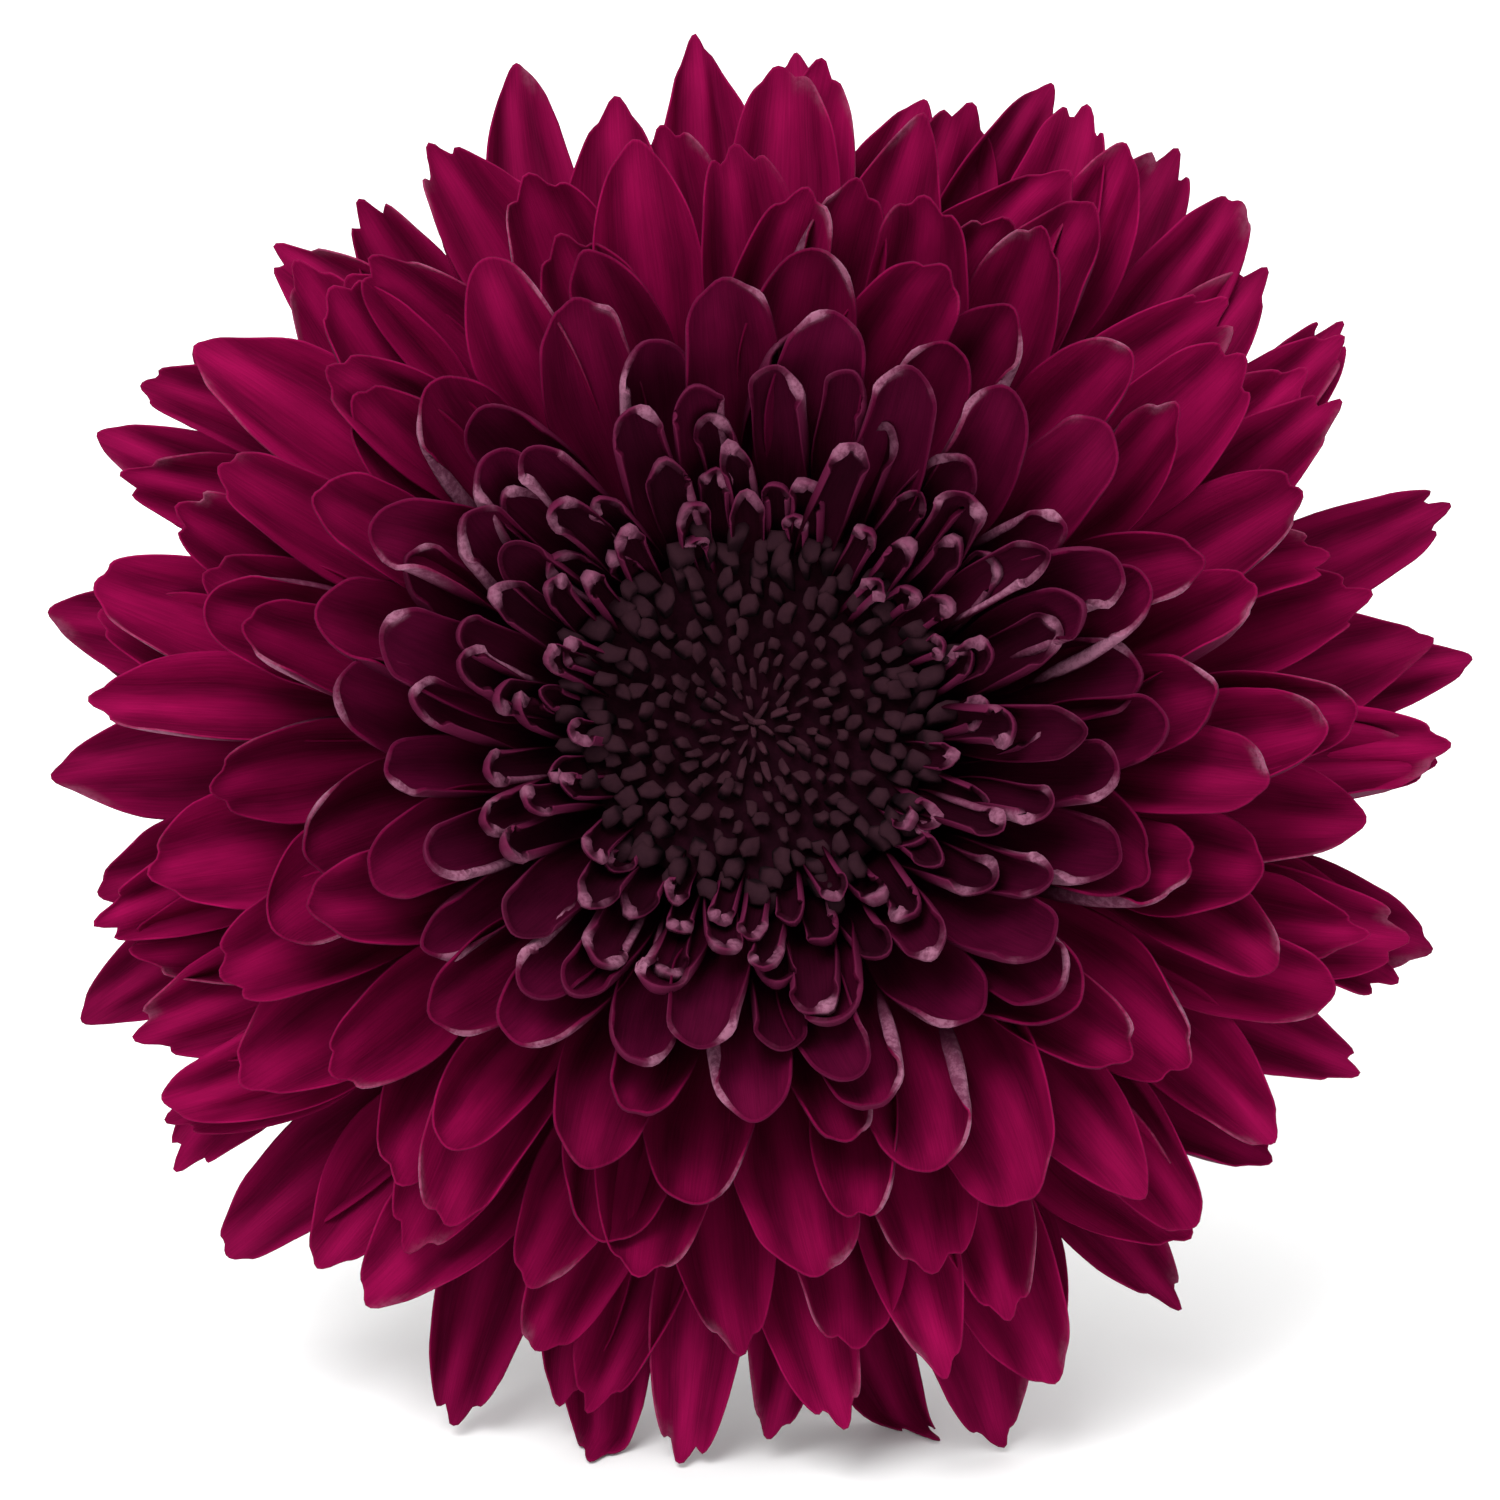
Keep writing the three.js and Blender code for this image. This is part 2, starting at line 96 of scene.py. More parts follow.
def bell(x, centre, spread):
    """A bell curve, e^(-((x - centre) / spread)^2)."""
    return np.exp(-(((x - centre) / spread) ** 2))


def integral(values, x, axis):
    """The running integral of the values over x along one axis, by trapezoids, from 0 at its start."""
    values, x = np.moveaxis(values, axis, -1), np.moveaxis(x, axis, -1)
    steps = (values[..., 1:] + values[..., :-1]) / 2 * np.diff(x, axis=-1)
    total = np.concatenate([np.zeros_like(values[..., :1]), np.cumsum(steps, axis=-1)], axis=-1)
    return np.moveaxis(total, -1, axis)


print("draws for the first five florets:", np.round(draw(np.arange(5), "width"), 2))

# %% [markdown]
# ## Where the flower lies
#
# The bloom is easiest to describe upright, with its axis along Z. It then lies down: the axis leans over
# until it rises only 26 degrees from the table, and the lowest petals bend where they touch. A real petal
# keeps its length as it bends, so what it is lifted by also slides it outwards along the table.

# %% The bloom's frame and the table
HEAD_TILT = math.radians(26)
HEAD_HEIGHT = 46.5
HEAD_PLACE = (-0.3, -20.75)
UP = np.array([0, math.cos(HEAD_TILT), math.sin(HEAD_TILT)])
SETTLE = 0.6  # how softly, in millimetres, a petal meets the table
SLIDE = 0.6  # how far it slides, as a share of its lift


def round_axis(radius, across, height, angle):
    """Points at a radius and a height, and at a distance across from where the angle points."""
    x = radius * np.cos(angle) - across * np.sin(angle)
    y = radius * np.sin(angle) + across * np.cos(angle)
    return np.stack(np.broadcast_arrays(x, y, height), -1)


def to_row(points):
    """Bloom frame to row frame: a turn that carries the axis to (0, -cos tilt, sin tilt), then a move."""
    c, s = math.cos(HEAD_TILT), math.sin(HEAD_TILT)
    x, y, z = points[..., 0], points[..., 1], points[..., 2]
    turned = np.stack([x, s * y - c * z, c * y + s * z], -1)
    return turned + np.array([*HEAD_PLACE, HEAD_HEIGHT])


def settled(points, clearance):
    """Each point raised by k ln(1 + e^(h/k)) - h, where h is its height over the table less a clearance,
    and moved outwards by a share of that."""
    height = HEAD_HEIGHT + points @ UP - clearance
    lift = SETTLE * np.logaddexp(0, height / SETTLE) - height
    outwards = points * np.array([1, 1, 0])
    outwards = outwards - (outwards @ UP)[..., None] * UP
    outwards /= np.maximum(np.linalg.norm(outwards, axis=-1, keepdims=True), 1e-9)
    return points + lift[..., None] * (UP + SLIDE * outwards)


# %% [markdown]
# ## Blades
#
# Petals, bracts and leaves are all thin blades. A blade starts as a grid of points on its middle surface,
# and becomes a closed solid when the grid is copied to both sides along its normals and a rim joins the
# copies. Solidify could do the same, but doing it here lets the two faces carry different attributes, so
# one material can paint the upper side crimson and the reverse mauve.

# %% From grids of points to a mesh
def mesh_object(name, points, quads, attributes=None, uv=None):
    """One mesh object, in metres, from points in millimetres and faces as rows of four point numbers."""
    mesh = bpy.data.meshes.new(name)
    mesh.vertices.add(len(points))
    mesh.vertices.foreach_set("co", (points * MM).astype(np.float32).ravel())
    mesh.loops.add(quads.size)
    mesh.loops.foreach_set("vertex_index", quads.astype(np.int32).ravel())
    mesh.polygons.add(len(quads))
    mesh.polygons.foreach_set("loop_start", np.arange(0, quads.size, 4, dtype=np.int32))
    mesh.polygons.foreach_set("loop_total", np.full(len(quads), 4, np.int32))
    mesh.polygons.foreach_set("use_smooth", np.ones(len(quads), bool))
    mesh.update(calc_edges=True)
    for key, values in (attributes or {}).items():
        layer = mesh.attributes.new(key, "FLOAT", "POINT")
        layer.data.foreach_set("value", values.astype(np.float32).ravel())
    if uv is not None:
        layer = mesh.uv_layers.new(name="lengthwise")
        layer.data.foreach_set("uv", uv[quads.ravel()].astype(np.float32).ravel())
    made = bpy.data.objects.new(name, mesh)
    bpy.context.scene.collection.objects.link(made)
    return made


def grid_quads(number):
    """The faces between neighbouring rows and columns of an array of point numbers (item, row, column)."""
    corners = [number[:, :-1, :-1], number[:, 1:, :-1], number[:, 1:, 1:], number[:, :-1, 1:]]
    return np.stack(corners, -1).reshape(-1, 4)


def blades(name, middle, thickness, attributes, face):
    """Closed blades from middle surfaces (item, row, column, xyz). Each side lies half a thickness along
    the normal, the cross product of the directions along and across. The attributes u and v go to the UV
    map, and face has a value for each side."""
    normal = np.cross(np.gradient(middle, axis=1), np.gradient(middle, axis=2))
    normal /= np.maximum(np.linalg.norm(normal, axis=-1, keepdims=True), 1e-9)
    full = lambda value: np.broadcast_to(value, middle.shape[:3])
    half = full(thickness)[..., None] / 2
    sides = np.stack([middle + normal * half, middle - normal * half])
    number = np.arange(sides[..., 0].size).reshape(sides.shape[:4])
    top, bottom = number
    edges = [
        (bottom[:, 0], top[:, 0]), (top[:, -1], bottom[:, -1]),
        (top[:, :, 0], bottom[:, :, 0]), (bottom[:, :, -1], top[:, :, -1]),
    ]
    rims = [np.stack([a[:, :-1], b[:, :-1], b[:, 1:], a[:, 1:]], -1).reshape(-1, 4) for a, b in edges]
    quads = np.concatenate([grid_quads(top), grid_quads(bottom)[:, ::-1], *rims])
    values = {key: np.stack([full(value)] * 2) for key, value in attributes.items()}
    values["face"] = np.stack([full(value) for value in face])
    uv = np.stack([values.pop("u"), values.pop("v")], -1).reshape(-1, 2)
    made = mesh_object(name, sides.reshape(-1, 3), quads, values, uv)
    print(f"{name}: {len(middle)} blades, {2 * len(made.data.polygons)} triangles")
    return made


# %% [markdown]
# ## The ages of a ray floret
#
# A ray floret is a tube at its foot that opens into a strap. Old florets are long, flat and lie back, and
# young ones are short, upright and still rolled up, like scoops. Sculpting one petal and scattering copies
# is quick, but the copies would all be the same age. So what changes with age stands in tables here, with
# one entry for each age in AGE, from 0 beside the disc to 1 at the outside.

# %% Tables by age
RAY_COUNT = 290
FIRST_RAY = 3  # its place in the spiral
GOLDEN_ANGLE = math.pi * (3 - math.sqrt(5))
RECEPTACLE_RADIUS, RECEPTACLE_HEIGHT, ROOT_DEPTH = 12, 8.5, 1.2
AGE = [0.0, 0.1, 0.22, 0.34, 0.45, 0.54, 0.65, 0.8, 1.0]
# Lengths in millimetres, and directions in degrees from the flower's axis.
TIP_RADIUS = [15.0, 17.6, 21.5, 26.6, 32.4, 38.0, 44.3, 51.2, 56.2]
TIP_HEIGHT = [22.5, 24.5, 27.5, 29.6, 29.7, 27.4, 22.6, 13.5, 2.0]
ROOT_POLAR = [42, 46, 51, 56, 61, 65, 71, 80, 94]
START_ANGLE = [14, 16, 20, 27, 34, 40, 48, 60, 80]
END_ANGLE = [34, 34, 32, 31, 34, 39, 50, 70, 98]
WIDTH = [3.1, 3.8, 5.2, 7.6, 9.8, 11.0, 11.4, 11.0, 10.2]
# Radians that the section turns through from the middle to a margin, and what the margin itself adds.
CUP = [1.6, 1.55, 1.45, 1.3, 1.2, 1.1, 1.05, 1.0, 1.0]
MARGIN_CURL = [2.0, 2.0, 1.7, 1.0, 0.45, 0.2, 0.15, 0.1, 0.1]
# Radians that the middle line turns in at the tip, and over what length.
TIP_CURL = [1.5, 1.5, 1.3, 1.0, 0.8, 0.6, 0.4, 0.3, 0.2]
TIP_CURL_LENGTH = [1.6, 1.6, 1.6, 1.8, 2.0, 2.2, 2.5, 2.5, 2.5]
# How far the tip's corners are cut back on a floret 5 mm wide, and how round it is: 0 an arch, 1 a circle.
TIP_LENGTH = [2.8, 2.8, 2.6, 2.2, 2.0, 2.2, 2.7, 3.2, 3.5]
TIP_ROUND = [0.25, 0.25, 0.35, 0.65, 0.9, 0.9, 0.8, 0.72, 0.64]
RIDGE = [0.0, 0.0, 0.0, 0.05, 0.15, 0.3, 0.45, 0.55, 0.55]  # height of the ridges that run along it
LIP = [0.75, 0.75, 0.7, 0.5, 0.25, 0.1, 0.0, 0.0, 0.0]  # what a pale lip adds to the thickness
RAY_THICKNESS = 0.27
HANDLES = (0.4, 0.34)  # how long the middle line's ends keep their directions, as shares of the chord
FOOT_WIDTH = 0.17  # the tube at the foot, as a share of the width
OPENING = (0.2, 0.84)  # where along it the tube has begun and ended to open
TAPER_FROM, TAPER = 0.7, (0.05, 0.44)  # where it begins to draw in, and by what share when young and old
CLEARANCE = 3  # the youngest keep this far off the table, the oldest lie on it
FOLDED_SHARE = 0.2  # how many of the middle florets have a folded side
OUTLINE = [(255, 0.05, 12), (285, 0.05, 12)]  # capes of the outline: azimuth, share of the radius, half width
OUTLINE_FROM = 0.45  # the age from which they show
# The most that a floret differs from its age's values, and how that grows from the youngest to the oldest.
CHANCE = {
    "azimuth": math.radians(2.6), "azimuth by age": (0.9, 2.0), "radius": 0.045, "height": (1, 3.5),
    "start": 3, "end": 12, "width": 0.16, "cup": 0.2, "roll": math.radians(18), "roll by age": (1.3, 1.0),
    "lean": math.radians(7), "tip shape": (0.15, 0.36),
}


def at_age(table, age):
    """The value of a table at each age, straight between its entries."""
    return np.interp(age, AGE, table)


def outline_at(azimuth):
    """The outline's share of its plain radius: 1 plus a bell curve for each cape."""
    off = lambda centre: (np.degrees(azimuth) - centre + 180) % 360 - 180
    return 1 + sum(depth * bell(off(centre), 0, spread) for centre, depth, spread in OUTLINE)


print("width of the youngest, a middle and the oldest floret:", at_age(WIDTH, [0, 0.5, 1]).round(1))

# %% [markdown]
# ## The middle line and the tip
#
# Each floret is a grid with u along it and v across it, from -1 to 1. Its middle line is a cubic curve in
# the plane through the flower's axis. The line bends in near the tip, by turning the direction in which the
# cubic runs and adding up its steps again: bending the finished points instead would stretch the petal.
#
# The end is rounded by letting each line along the petal stop short by its own share. So the grid follows
# the outline, and its rim needs no cutting.

# %% The middle line
def middle_handles(i, age, azimuth):
    """The cubic's four handles as (radius, height), and its chord from root to tip. The inner two lie along
    the directions at the root and at the tip, each at its share of the chord."""
    outline = mix(1, outline_at(azimuth), smooth(age, OUTLINE_FROM, 0.9))
    tip = np.stack([
        at_age(TIP_RADIUS, age) * (1 + CHANCE["radius"] * swing(i, "radius")) * outline,
        at_age(TIP_HEIGHT, age) + mix(*CHANCE["height"], age) * swing(i, "height"),
    ])
    polar = np.radians(at_age(ROOT_POLAR, age))
    root = np.stack([RECEPTACLE_RADIUS * np.sin(polar) - ROOT_DEPTH, RECEPTACLE_HEIGHT * np.cos(polar)])
    start = np.radians(at_age(START_ANGLE, age) + CHANCE["start"] * swing(i, "start"))
    end = np.radians(at_age(END_ANGLE, age) + CHANCE["end"] * swing(i, "end"))
    chord = np.hypot(*(tip - root))
    near_root = root + HANDLES[0] * chord * np.stack([np.sin(start), np.cos(start)])
    near_tip = tip - HANDLES[1] * chord * np.stack([np.sin(end), np.cos(end)])
    return (root, near_root, near_tip, tip), chord


def middle_line(i, age, handles, chord, u, v, w):
    """Radius and height at the place w, and the heading there. The cubic's slope gives speed and heading,
    the heading turns in near the tip, and the line is the integral of its steps."""
    root, near_root, near_tip, tip = handles
    slope = (
        3 * (1 - w) ** 2 * (near_root - root)
        + 6 * (1 - w) * w * (near_tip - near_root)
        + 3 * w * w * (tip - near_tip)
    )
    curl = at_age(TIP_CURL, age) * (0.55 + 0.8 * draw(i, "tip curl"))
    curl = curl * (1 - 0.85 * smooth(np.abs(v), 0.55, 1))
    curl_from = 1 - at_age(TIP_CURL_LENGTH, age) / chord
    heading = np.arctan2(*slope) - curl * np.clip((u - curl_from) / (1 - curl_from), 0, 1) ** 1.3
    step = np.hypot(*slope) * np.stack([np.sin(heading), np.cos(heading)])
    return root + integral(step, w, axis=-2), heading


def rounded_end(i, age, chord, u, v):
    """The place w along the middle line of each grid point: u, less a share that grows towards the margins.

    It is a blend of the arch |v|^1.5 and the circle 1 - sqrt(1 - v^2). Two teeth, which are bell curves
    beside the middle, and a faint frill, which is a sine across, are cut out of the last part."""
    shape = at_age(TIP_ROUND, age) + mix(*CHANCE["tip shape"], age) * swing(i, "tip shape")
    corner = mix(np.abs(v) ** 1.5, 1 - np.sqrt(1 - 0.98 * v * v), np.clip(shape, 0, 1))
    length = at_age(TIP_LENGTH, age) * (0.65 + 0.7 * draw(i, "tip length")) * at_age(WIDTH, age) / 5
    depth = (0.15 + 1.7 * draw(i, "teeth") ** 1.6) * smooth(age, 0.3, 0.75)
    teeth = depth / chord * bell(np.abs(v - 0.12 * swing(i, "teeth place")), 0.33, 0.15)
    waves = (5 + 3 * draw(i, "frill")) * v + 6.3 * draw(i, "frill place")
    frill = mix(0.1, 0.16, age) / chord * np.sin(waves)
    return u * (1 - length / chord * corner - (teeth + frill) * smooth(u, 0.6, 1))


# %% [markdown]
# ## The section and the surface
#
# Across it, a floret is given by the angle that its section has turned through at each place. Adding up the
# steps of that direction can cup a petal and curl its margin right over, and never stretches it. One middle
# floret in five has a whole side folded over.
#
# The tips of the young florets have pale, swollen lips. A lip is one or two soft lumps at a drawn place,
# broken by a slow wave, and the same numbers shape it here and later colour it with the pale bloom and a
# painted highlight.

# %% Lips, folds and the section
def pale_lip_and_highlight(i, age, v):
    """How much of a lip, and of the painted highlight on it, there is at v: a bell curve on one side, and a
    weaker one on the other when young.
    """
    side = np.sign(swing(i, "side"))
    bright = draw(i, "lip bright") < mix(0.85, 0.4, smooth(age, 0.3, 0.8))
    place = (mix(0.1, 0.35, smooth(age, 0.1, 0.4)) + 0.5 * draw(i, "lip place")) * side
    second = draw(i, "second lip") * (1 - smooth(age, 0.15, 0.5))
    lip_and_highlight = bell(v, place, 0.28) + second * bell(v, -place, 0.24)
    lip_and_highlight = lip_and_highlight * (np.where(bright, 0.7, 0.0) + 0.3 * draw(i, "lip_and_highlight"))
    return lip_and_highlight * (1 + 0.5 * np.sin((6 + 5 * draw(i, "lip wave")) * v + 6.3 * draw(i, "lip wave place")))


def folded_strip(i, age, v, w):
    """The angle that the fold adds and the strip that it turns over: smooth steps of v past a crease, which
    leaves the margin above the foot and comes back a little at the tip."""
    side = np.sign(swing(i, "side"))
    strength = np.where(draw(i, "folded") < FOLDED_SHARE, smooth(age, 0.03, 0.2), 0.0)
    strength = strength * (1 - smooth(age, 0.5, 0.7))
    crease = 1.0 - 0.3 * smooth(w, 0.4, 0.78) * (1 - 0.6 * smooth(w, 0.86, 1.0))
    fold = strength * (1.5 + 0.7 * draw(i, "fold")) * side * smooth(v * side, crease, crease + 0.2)
    return fold, strength * smooth(v * side, crease, crease + 0.1)


def section(i, age, lip_and_highlight, fold, v, w, width):
    """Across and rise of the section: the integrals over v of cos a and sin a, times the half width, where
    a adds up the cup, the margin's curl and the fold. Ridges and a ruffle are added to the rise."""
    taper = 1 - mix(*TAPER, age) * smooth(w, TAPER_FROM, 1)
    half = width / 2 * mix(FOOT_WIDTH, 1.0, smooth(w, *OPENING)) * taper
    cup = at_age(CUP, age) * (1 + CHANCE["cup"] * swing(i, "cup")) * mix(0.5, 1, smooth(w, 0.35, 0.85))
    curl = at_age(MARGIN_CURL, age) * (0.6 + 0.8 * draw(i, "margin curl")) * (0.5 + lip_and_highlight)
    margin = np.sign(v) * smooth(np.abs(v), 0.6, 0.95) * smooth(w, 0.35, 0.92)
    turned = cup * v + curl * margin + fold
    across, rise = (integral(part, v, axis=-1) for part in (np.cos(turned), np.sin(turned)))
    middle = v.size // 2
    across = (across - across[..., middle, None]) * half
    rise = (rise - rise[..., middle, None]) * half
    furrow = -np.cos(2 * math.pi * v / 0.9 + 0.9 * swing(i, "ridge place"))
    furrow = furrow * smooth(w, 0.25, 0.6) * (1 - smooth(w, 0.88, 1))
    ruffle = np.sin(2 * math.pi * (1.6 * w + draw(i, "ruffle place")) + 1.5 * v)
    ruffle = ruffle * smooth(w, 0.35, 0.75) * smooth(np.abs(v), 0.3, 1)
    rise = rise - at_age(RIDGE, age) * (0.5 + draw(i, "ridge")) * furrow + mix(0.1, 0.45, age) * ruffle
    return across, rise, furrow


# %% The surface of a floret
def ray_surface(i, rows, columns):
    """Middle surfaces of florets i as an array (floret, row, column, xyz), their thickness and attributes.

    The section stands across the middle line, rolled a little about it: its rise goes along the line's
    normal, and the rest goes round the axis. The azimuth leans to one side with w^2. Rows crowd towards
    the tip and columns towards the margins, where the surface bends most."""
    i = i[:, None, None]
    age = i / (RAY_COUNT - 1)
    astray = CHANCE["azimuth"] * swing(i, "azimuth") * mix(*CHANCE["azimuth by age"], age)
    azimuth = (i + FIRST_RAY) * GOLDEN_ANGLE + astray
    even = np.linspace(-1, 1, columns)
    v = mix(even, np.sin(even * math.pi / 2), 0.6)[None, None, :]
    u = (1 - (1 - np.linspace(0, 1, rows)) ** 1.7)[None, :, None]

    handles, chord = middle_handles(i, age, azimuth)
    w = rounded_end(i, age, chord, u, v)
    line, heading = middle_line(i, age, handles, chord, u, v, w)
    width = at_age(WIDTH, age) * (1 + CHANCE["width"] * swing(i, "width"))
    lip_and_highlight = pale_lip_and_highlight(i, age, v)
    fold, strip = folded_strip(i, age, v, w)
    across, rise, furrow = section(i, age, lip_and_highlight, fold, v, w, width)

    roll = CHANCE["roll"] * swing(i, "roll") * mix(*CHANCE["roll by age"], age) * smooth(w, 0.1, 0.8)
    across, rise = across * np.cos(roll) - rise * np.sin(roll), across * np.sin(roll) + rise * np.cos(roll)
    radius = line[0] - np.cos(heading) * rise
    height = line[1] + np.sin(heading) * rise
    angle = azimuth + CHANCE["lean"] * swing(i, "lean") * w * w
    points = round_axis(radius, across, height, angle)
    edge = np.maximum(smooth(np.abs(v), 0.6, 1), smooth(u, 0.85, 1))
    swelling = at_age(LIP, age) * (0.35 + lip_and_highlight) * smooth(u, 0.86, 1)
    thickness = RAY_THICKNESS * (1 - 0.45 * edge) + swelling
    attributes = {
        "age": age, "along": w, "across": v, "tip": u, "tint": draw(i, "tint"),
        "strip": strip, "furrow": furrow * smooth(age, 0.3, 0.6), "lip_and_highlight": lip_and_highlight,
        "u": v * width / 20 + draw(i, "pattern across") * 7,
        "v": w * chord / 20 + draw(i, "pattern along") * 5,
    }
    return settled(points, CLEARANCE * (1 - age) + 0.2), thickness, attributes


# %% [markdown]
# The florets go into a few pieces by age, because the big outer straps need a finer grid than the small
# inner scoops, and a piece with fewer faces is easier to handle.

# %% Build the ray florets
RAY_BANDS = {  # first and last floret, rows, columns
    "ray_florets_young": (0, 70, 20, 17),
    "ray_florets_inner": (70, 145, 20, 21),
    "ray_florets_middle": (145, 215, 21, 23),
    "ray_florets_outer": (215, RAY_COUNT, 22, 25),
}


def ride_and_replace(piece, slot, *nodes):
    """A finished piece rides on the one body and stands for its CAD nodes. Its slot is not used."""
    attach(piece, "root")
    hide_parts(*nodes)
    return piece


rays = []
for name, (first, last, rows, columns) in RAY_BANDS.items():
    points, thickness, attributes = ray_surface(np.arange(first, last), rows, columns)
    piece = blades(name, to_row(points), thickness, attributes, (1.0, 0.0))
    rays.append(ride_and_replace(piece, "petal", "ray_florets"))

# %% [markdown]
# ## The receptacle and the disc
#
# Under the florets is the dome that they grow from. Little of it shows, only dark depths between the
# florets, but without it the light would shine through the middle of the bloom. It is a profile turned
# about the axis. On it stand the disc florets: short stubs that are still closed. The oldest, at the rim,
# stand out singly, and towards the centre they crowd together and lean in.

# %% Turned shapes
def weld(piece, distance=1e-6):
    """Points that coincide become one, which closes the poles of a turned shape."""
    shape = bmesh.new()
    shape.from_mesh(piece.data)
    bmesh.ops.remove_doubles(shape, verts=shape.verts, dist=distance)
    bmesh.ops.dissolve_degenerate(shape, edges=shape.edges, dist=distance)
    bmesh.ops.recalc_face_normals(shape, faces=shape.faces)
    shape.to_mesh(piece.data)
    shape.free()
    piece.data.polygons.foreach_set("use_smooth", np.ones(len(piece.data.polygons), bool))


def turned_shape(name, profile, steps):
    """A surface of revolution: the profile's (radius, height) rows swept through a full turn. Its seam is
    closed, and each end on the axis is one point ringed by faces."""
    profile = np.asarray(profile, float)
    angle = np.linspace(0, 2 * math.pi, steps, endpoint=False)
    points = round_axis(profile[:, :1], 0, profile[:, 1:], angle)
    number = np.arange(points[..., 0].size).reshape(points.shape[:2])
    ring = np.concatenate([number, number[:, :1]], 1)
    quads = grid_quads(ring[None])[:, ::-1]
    made = mesh_object(name, to_row(points).reshape(-1, 3), quads)
    weld(made)
    return made


RECEPTACLE_PROFILE = [
    (0, -1.3), (8, -1.3), (11.4, -1.2), (12.4, 0.2), (16, 4.0), (18.5, 8.5),
    (18.2, 12), (15, 14.2), (12.5, 14.0), (11.0, 12.5), (5, 9), (0, 8.5),
]
receptacle = turned_shape("receptacle", RECEPTACLE_PROFILE, 48)
ride_and_replace(receptacle, "petal", "ray_florets")

DISC_RADIUS = 13.2
DISC_CENTRE_HEIGHT = 17.2
DISC_RIM_HEIGHT = 20.4
MOUND_DEPTH = 1.4  # how far the mound lies under the buds' tops


def disc_height(radius):
    """The dished top of the disc: it rises with the square of the radius from the centre to the rim."""
    return mix(DISC_CENTRE_HEIGHT, DISC_RIM_HEIGHT, (radius / DISC_RADIUS) ** 2)


mound_radii = np.linspace(0, DISC_RADIUS, 12)
mound_profile = [(0, 5.6), (5.2, 5.6), (9.5, 13.5), (12.6, 18.2)]
mound_profile += [(r, disc_height(r) - MOUND_DEPTH) for r in mound_radii[::-1]]
mound = turned_shape("disc_mound", mound_profile, 48)
ride_and_replace(mound, "bud", "disc_florets")

# %% The buds of the disc
BUD_COUNT = 245
BUD_SIDES = 8
BUD_CROWDING = 0.56  # the power that spaces them; 0.5 would spread them evenly
BUD_ROOT = 1.5  # how deep their feet stand below the disc's top
BUD_PROFILE = [(-0.05, 0.0), (0.0, 0.55), (0.45, 0.8), (0.75, 1.0), (0.93, 0.95), (1.0, 0.66), (1.02, 0.0)]


def disc_buds(i):
    """Buds i as rings round a leaning stalk, each a (share of the height, share of the radius). Cosines of
    2, 3 and 4 times the angle and a slanting top keep them from being round."""
    i = i[:, None, None]
    share = ((i + 0.5) / BUD_COUNT) ** BUD_CROWDING
    radius = (DISC_RADIUS + 0.2) * share + 0.3 * swing(i, "bud radius")
    azimuth = i * GOLDEN_ANGLE + 0.05 * swing(i, "bud azimuth")
    size = mix(0.42, 0.95, share ** 1.3) * (1 + 0.25 * swing(i, "bud size"))
    tall = mix(1.0, 3.2, share ** 1.5) * (1 + 0.35 * swing(i, "bud height"))
    lean = np.radians(mix(-14, 24, smooth(share, 0.3, 1.0)) + 12 * swing(i, "bud lean"))
    twist = np.radians(16) * swing(i, "bud twist")
    slim = mix(1.7, 1.0, smooth(share, 0.15, 0.55))

    up, wide = np.array(BUD_PROFILE).T[:, None, :, None]
    angle = np.arange(BUD_SIDES) * 2 * math.pi / BUD_SIDES
    wobble = (
        1 + 0.2 * np.cos(2 * angle + 6.3 * draw(i, "bud oval"))
        + 0.1 * np.cos(3 * angle + 6.3 * draw(i, "bud corners")) - 0.08 * np.cos(4 * angle)
    )
    out = size * wide * wobble * np.cos(angle) * slim
    sideways = size * wide * wobble * np.sin(angle) * 0.85 / slim
    rise = up * tall
    slant = rise + (0.45 * out + 0.4 * swing(i, "bud slant") * sideways) * smooth(up, 0.6, 1)
    r = radius + out * np.cos(lean) + slant * np.sin(lean)
    z = disc_height(radius) - BUD_ROOT - out * np.sin(lean) + slant * np.cos(lean)
    sideways = sideways + rise * np.sin(twist)
    return round_axis(r, sideways, z, azimuth), {"age": share, "along": up}


def rings_object(name, points, attributes):
    """Rings (item, ring, point, xyz) as one mesh object, each item closed where its end rings shrink to a
    point."""
    number = np.arange(points[..., 0].size).reshape(points.shape[:3])
    loop = np.concatenate([number, number[..., :1]], -1)
    values = {key: np.broadcast_to(value, number.shape) for key, value in attributes.items()}
    made = mesh_object(name, to_row(points).reshape(-1, 3), grid_quads(loop)[:, ::-1], values)
    weld(made)
    print(f"{name}: {len(points)} items, {2 * len(made.data.polygons)} triangles")
    return made


points, attributes = disc_buds(np.arange(BUD_COUNT))
buds = rings_object("disc_buds", points, attributes)
ride_and_replace(buds, "bud", "disc_florets")

# %% [markdown]
# ## The involucre
#
# Behind the petals the head sits in a green cup, shingled with small bracts. A bract is a blade too. It
# lies up the flank of the cup and parts from it at the tip. The flank is a curve through five points, and
# its slope gives the direction that "off the cup" means at each height.

# %% The cup and its bracts
FLANK = np.array([(3.7, -12.5), (4.4, -11.4), (7.8, -8.6), (10.4, -5.2), (11.6, -1.6)])
FLANK_CURVES = [np.polyfit(np.linspace(0, 1, 5), FLANK[:, k], 4) for k in (0, 1)]
BRACT_COUNT = 52


def flank(share):
    """Radius and height at a share of the way up, and the direction that points off the cup there."""
    place = [np.polyval(curve, share) for curve in FLANK_CURVES]
    slope = [np.polyval(np.polyder(curve), share) for curve in FLANK_CURVES]
    length = np.hypot(*slope)
    return place, [slope[1] / length, -slope[0] / length]


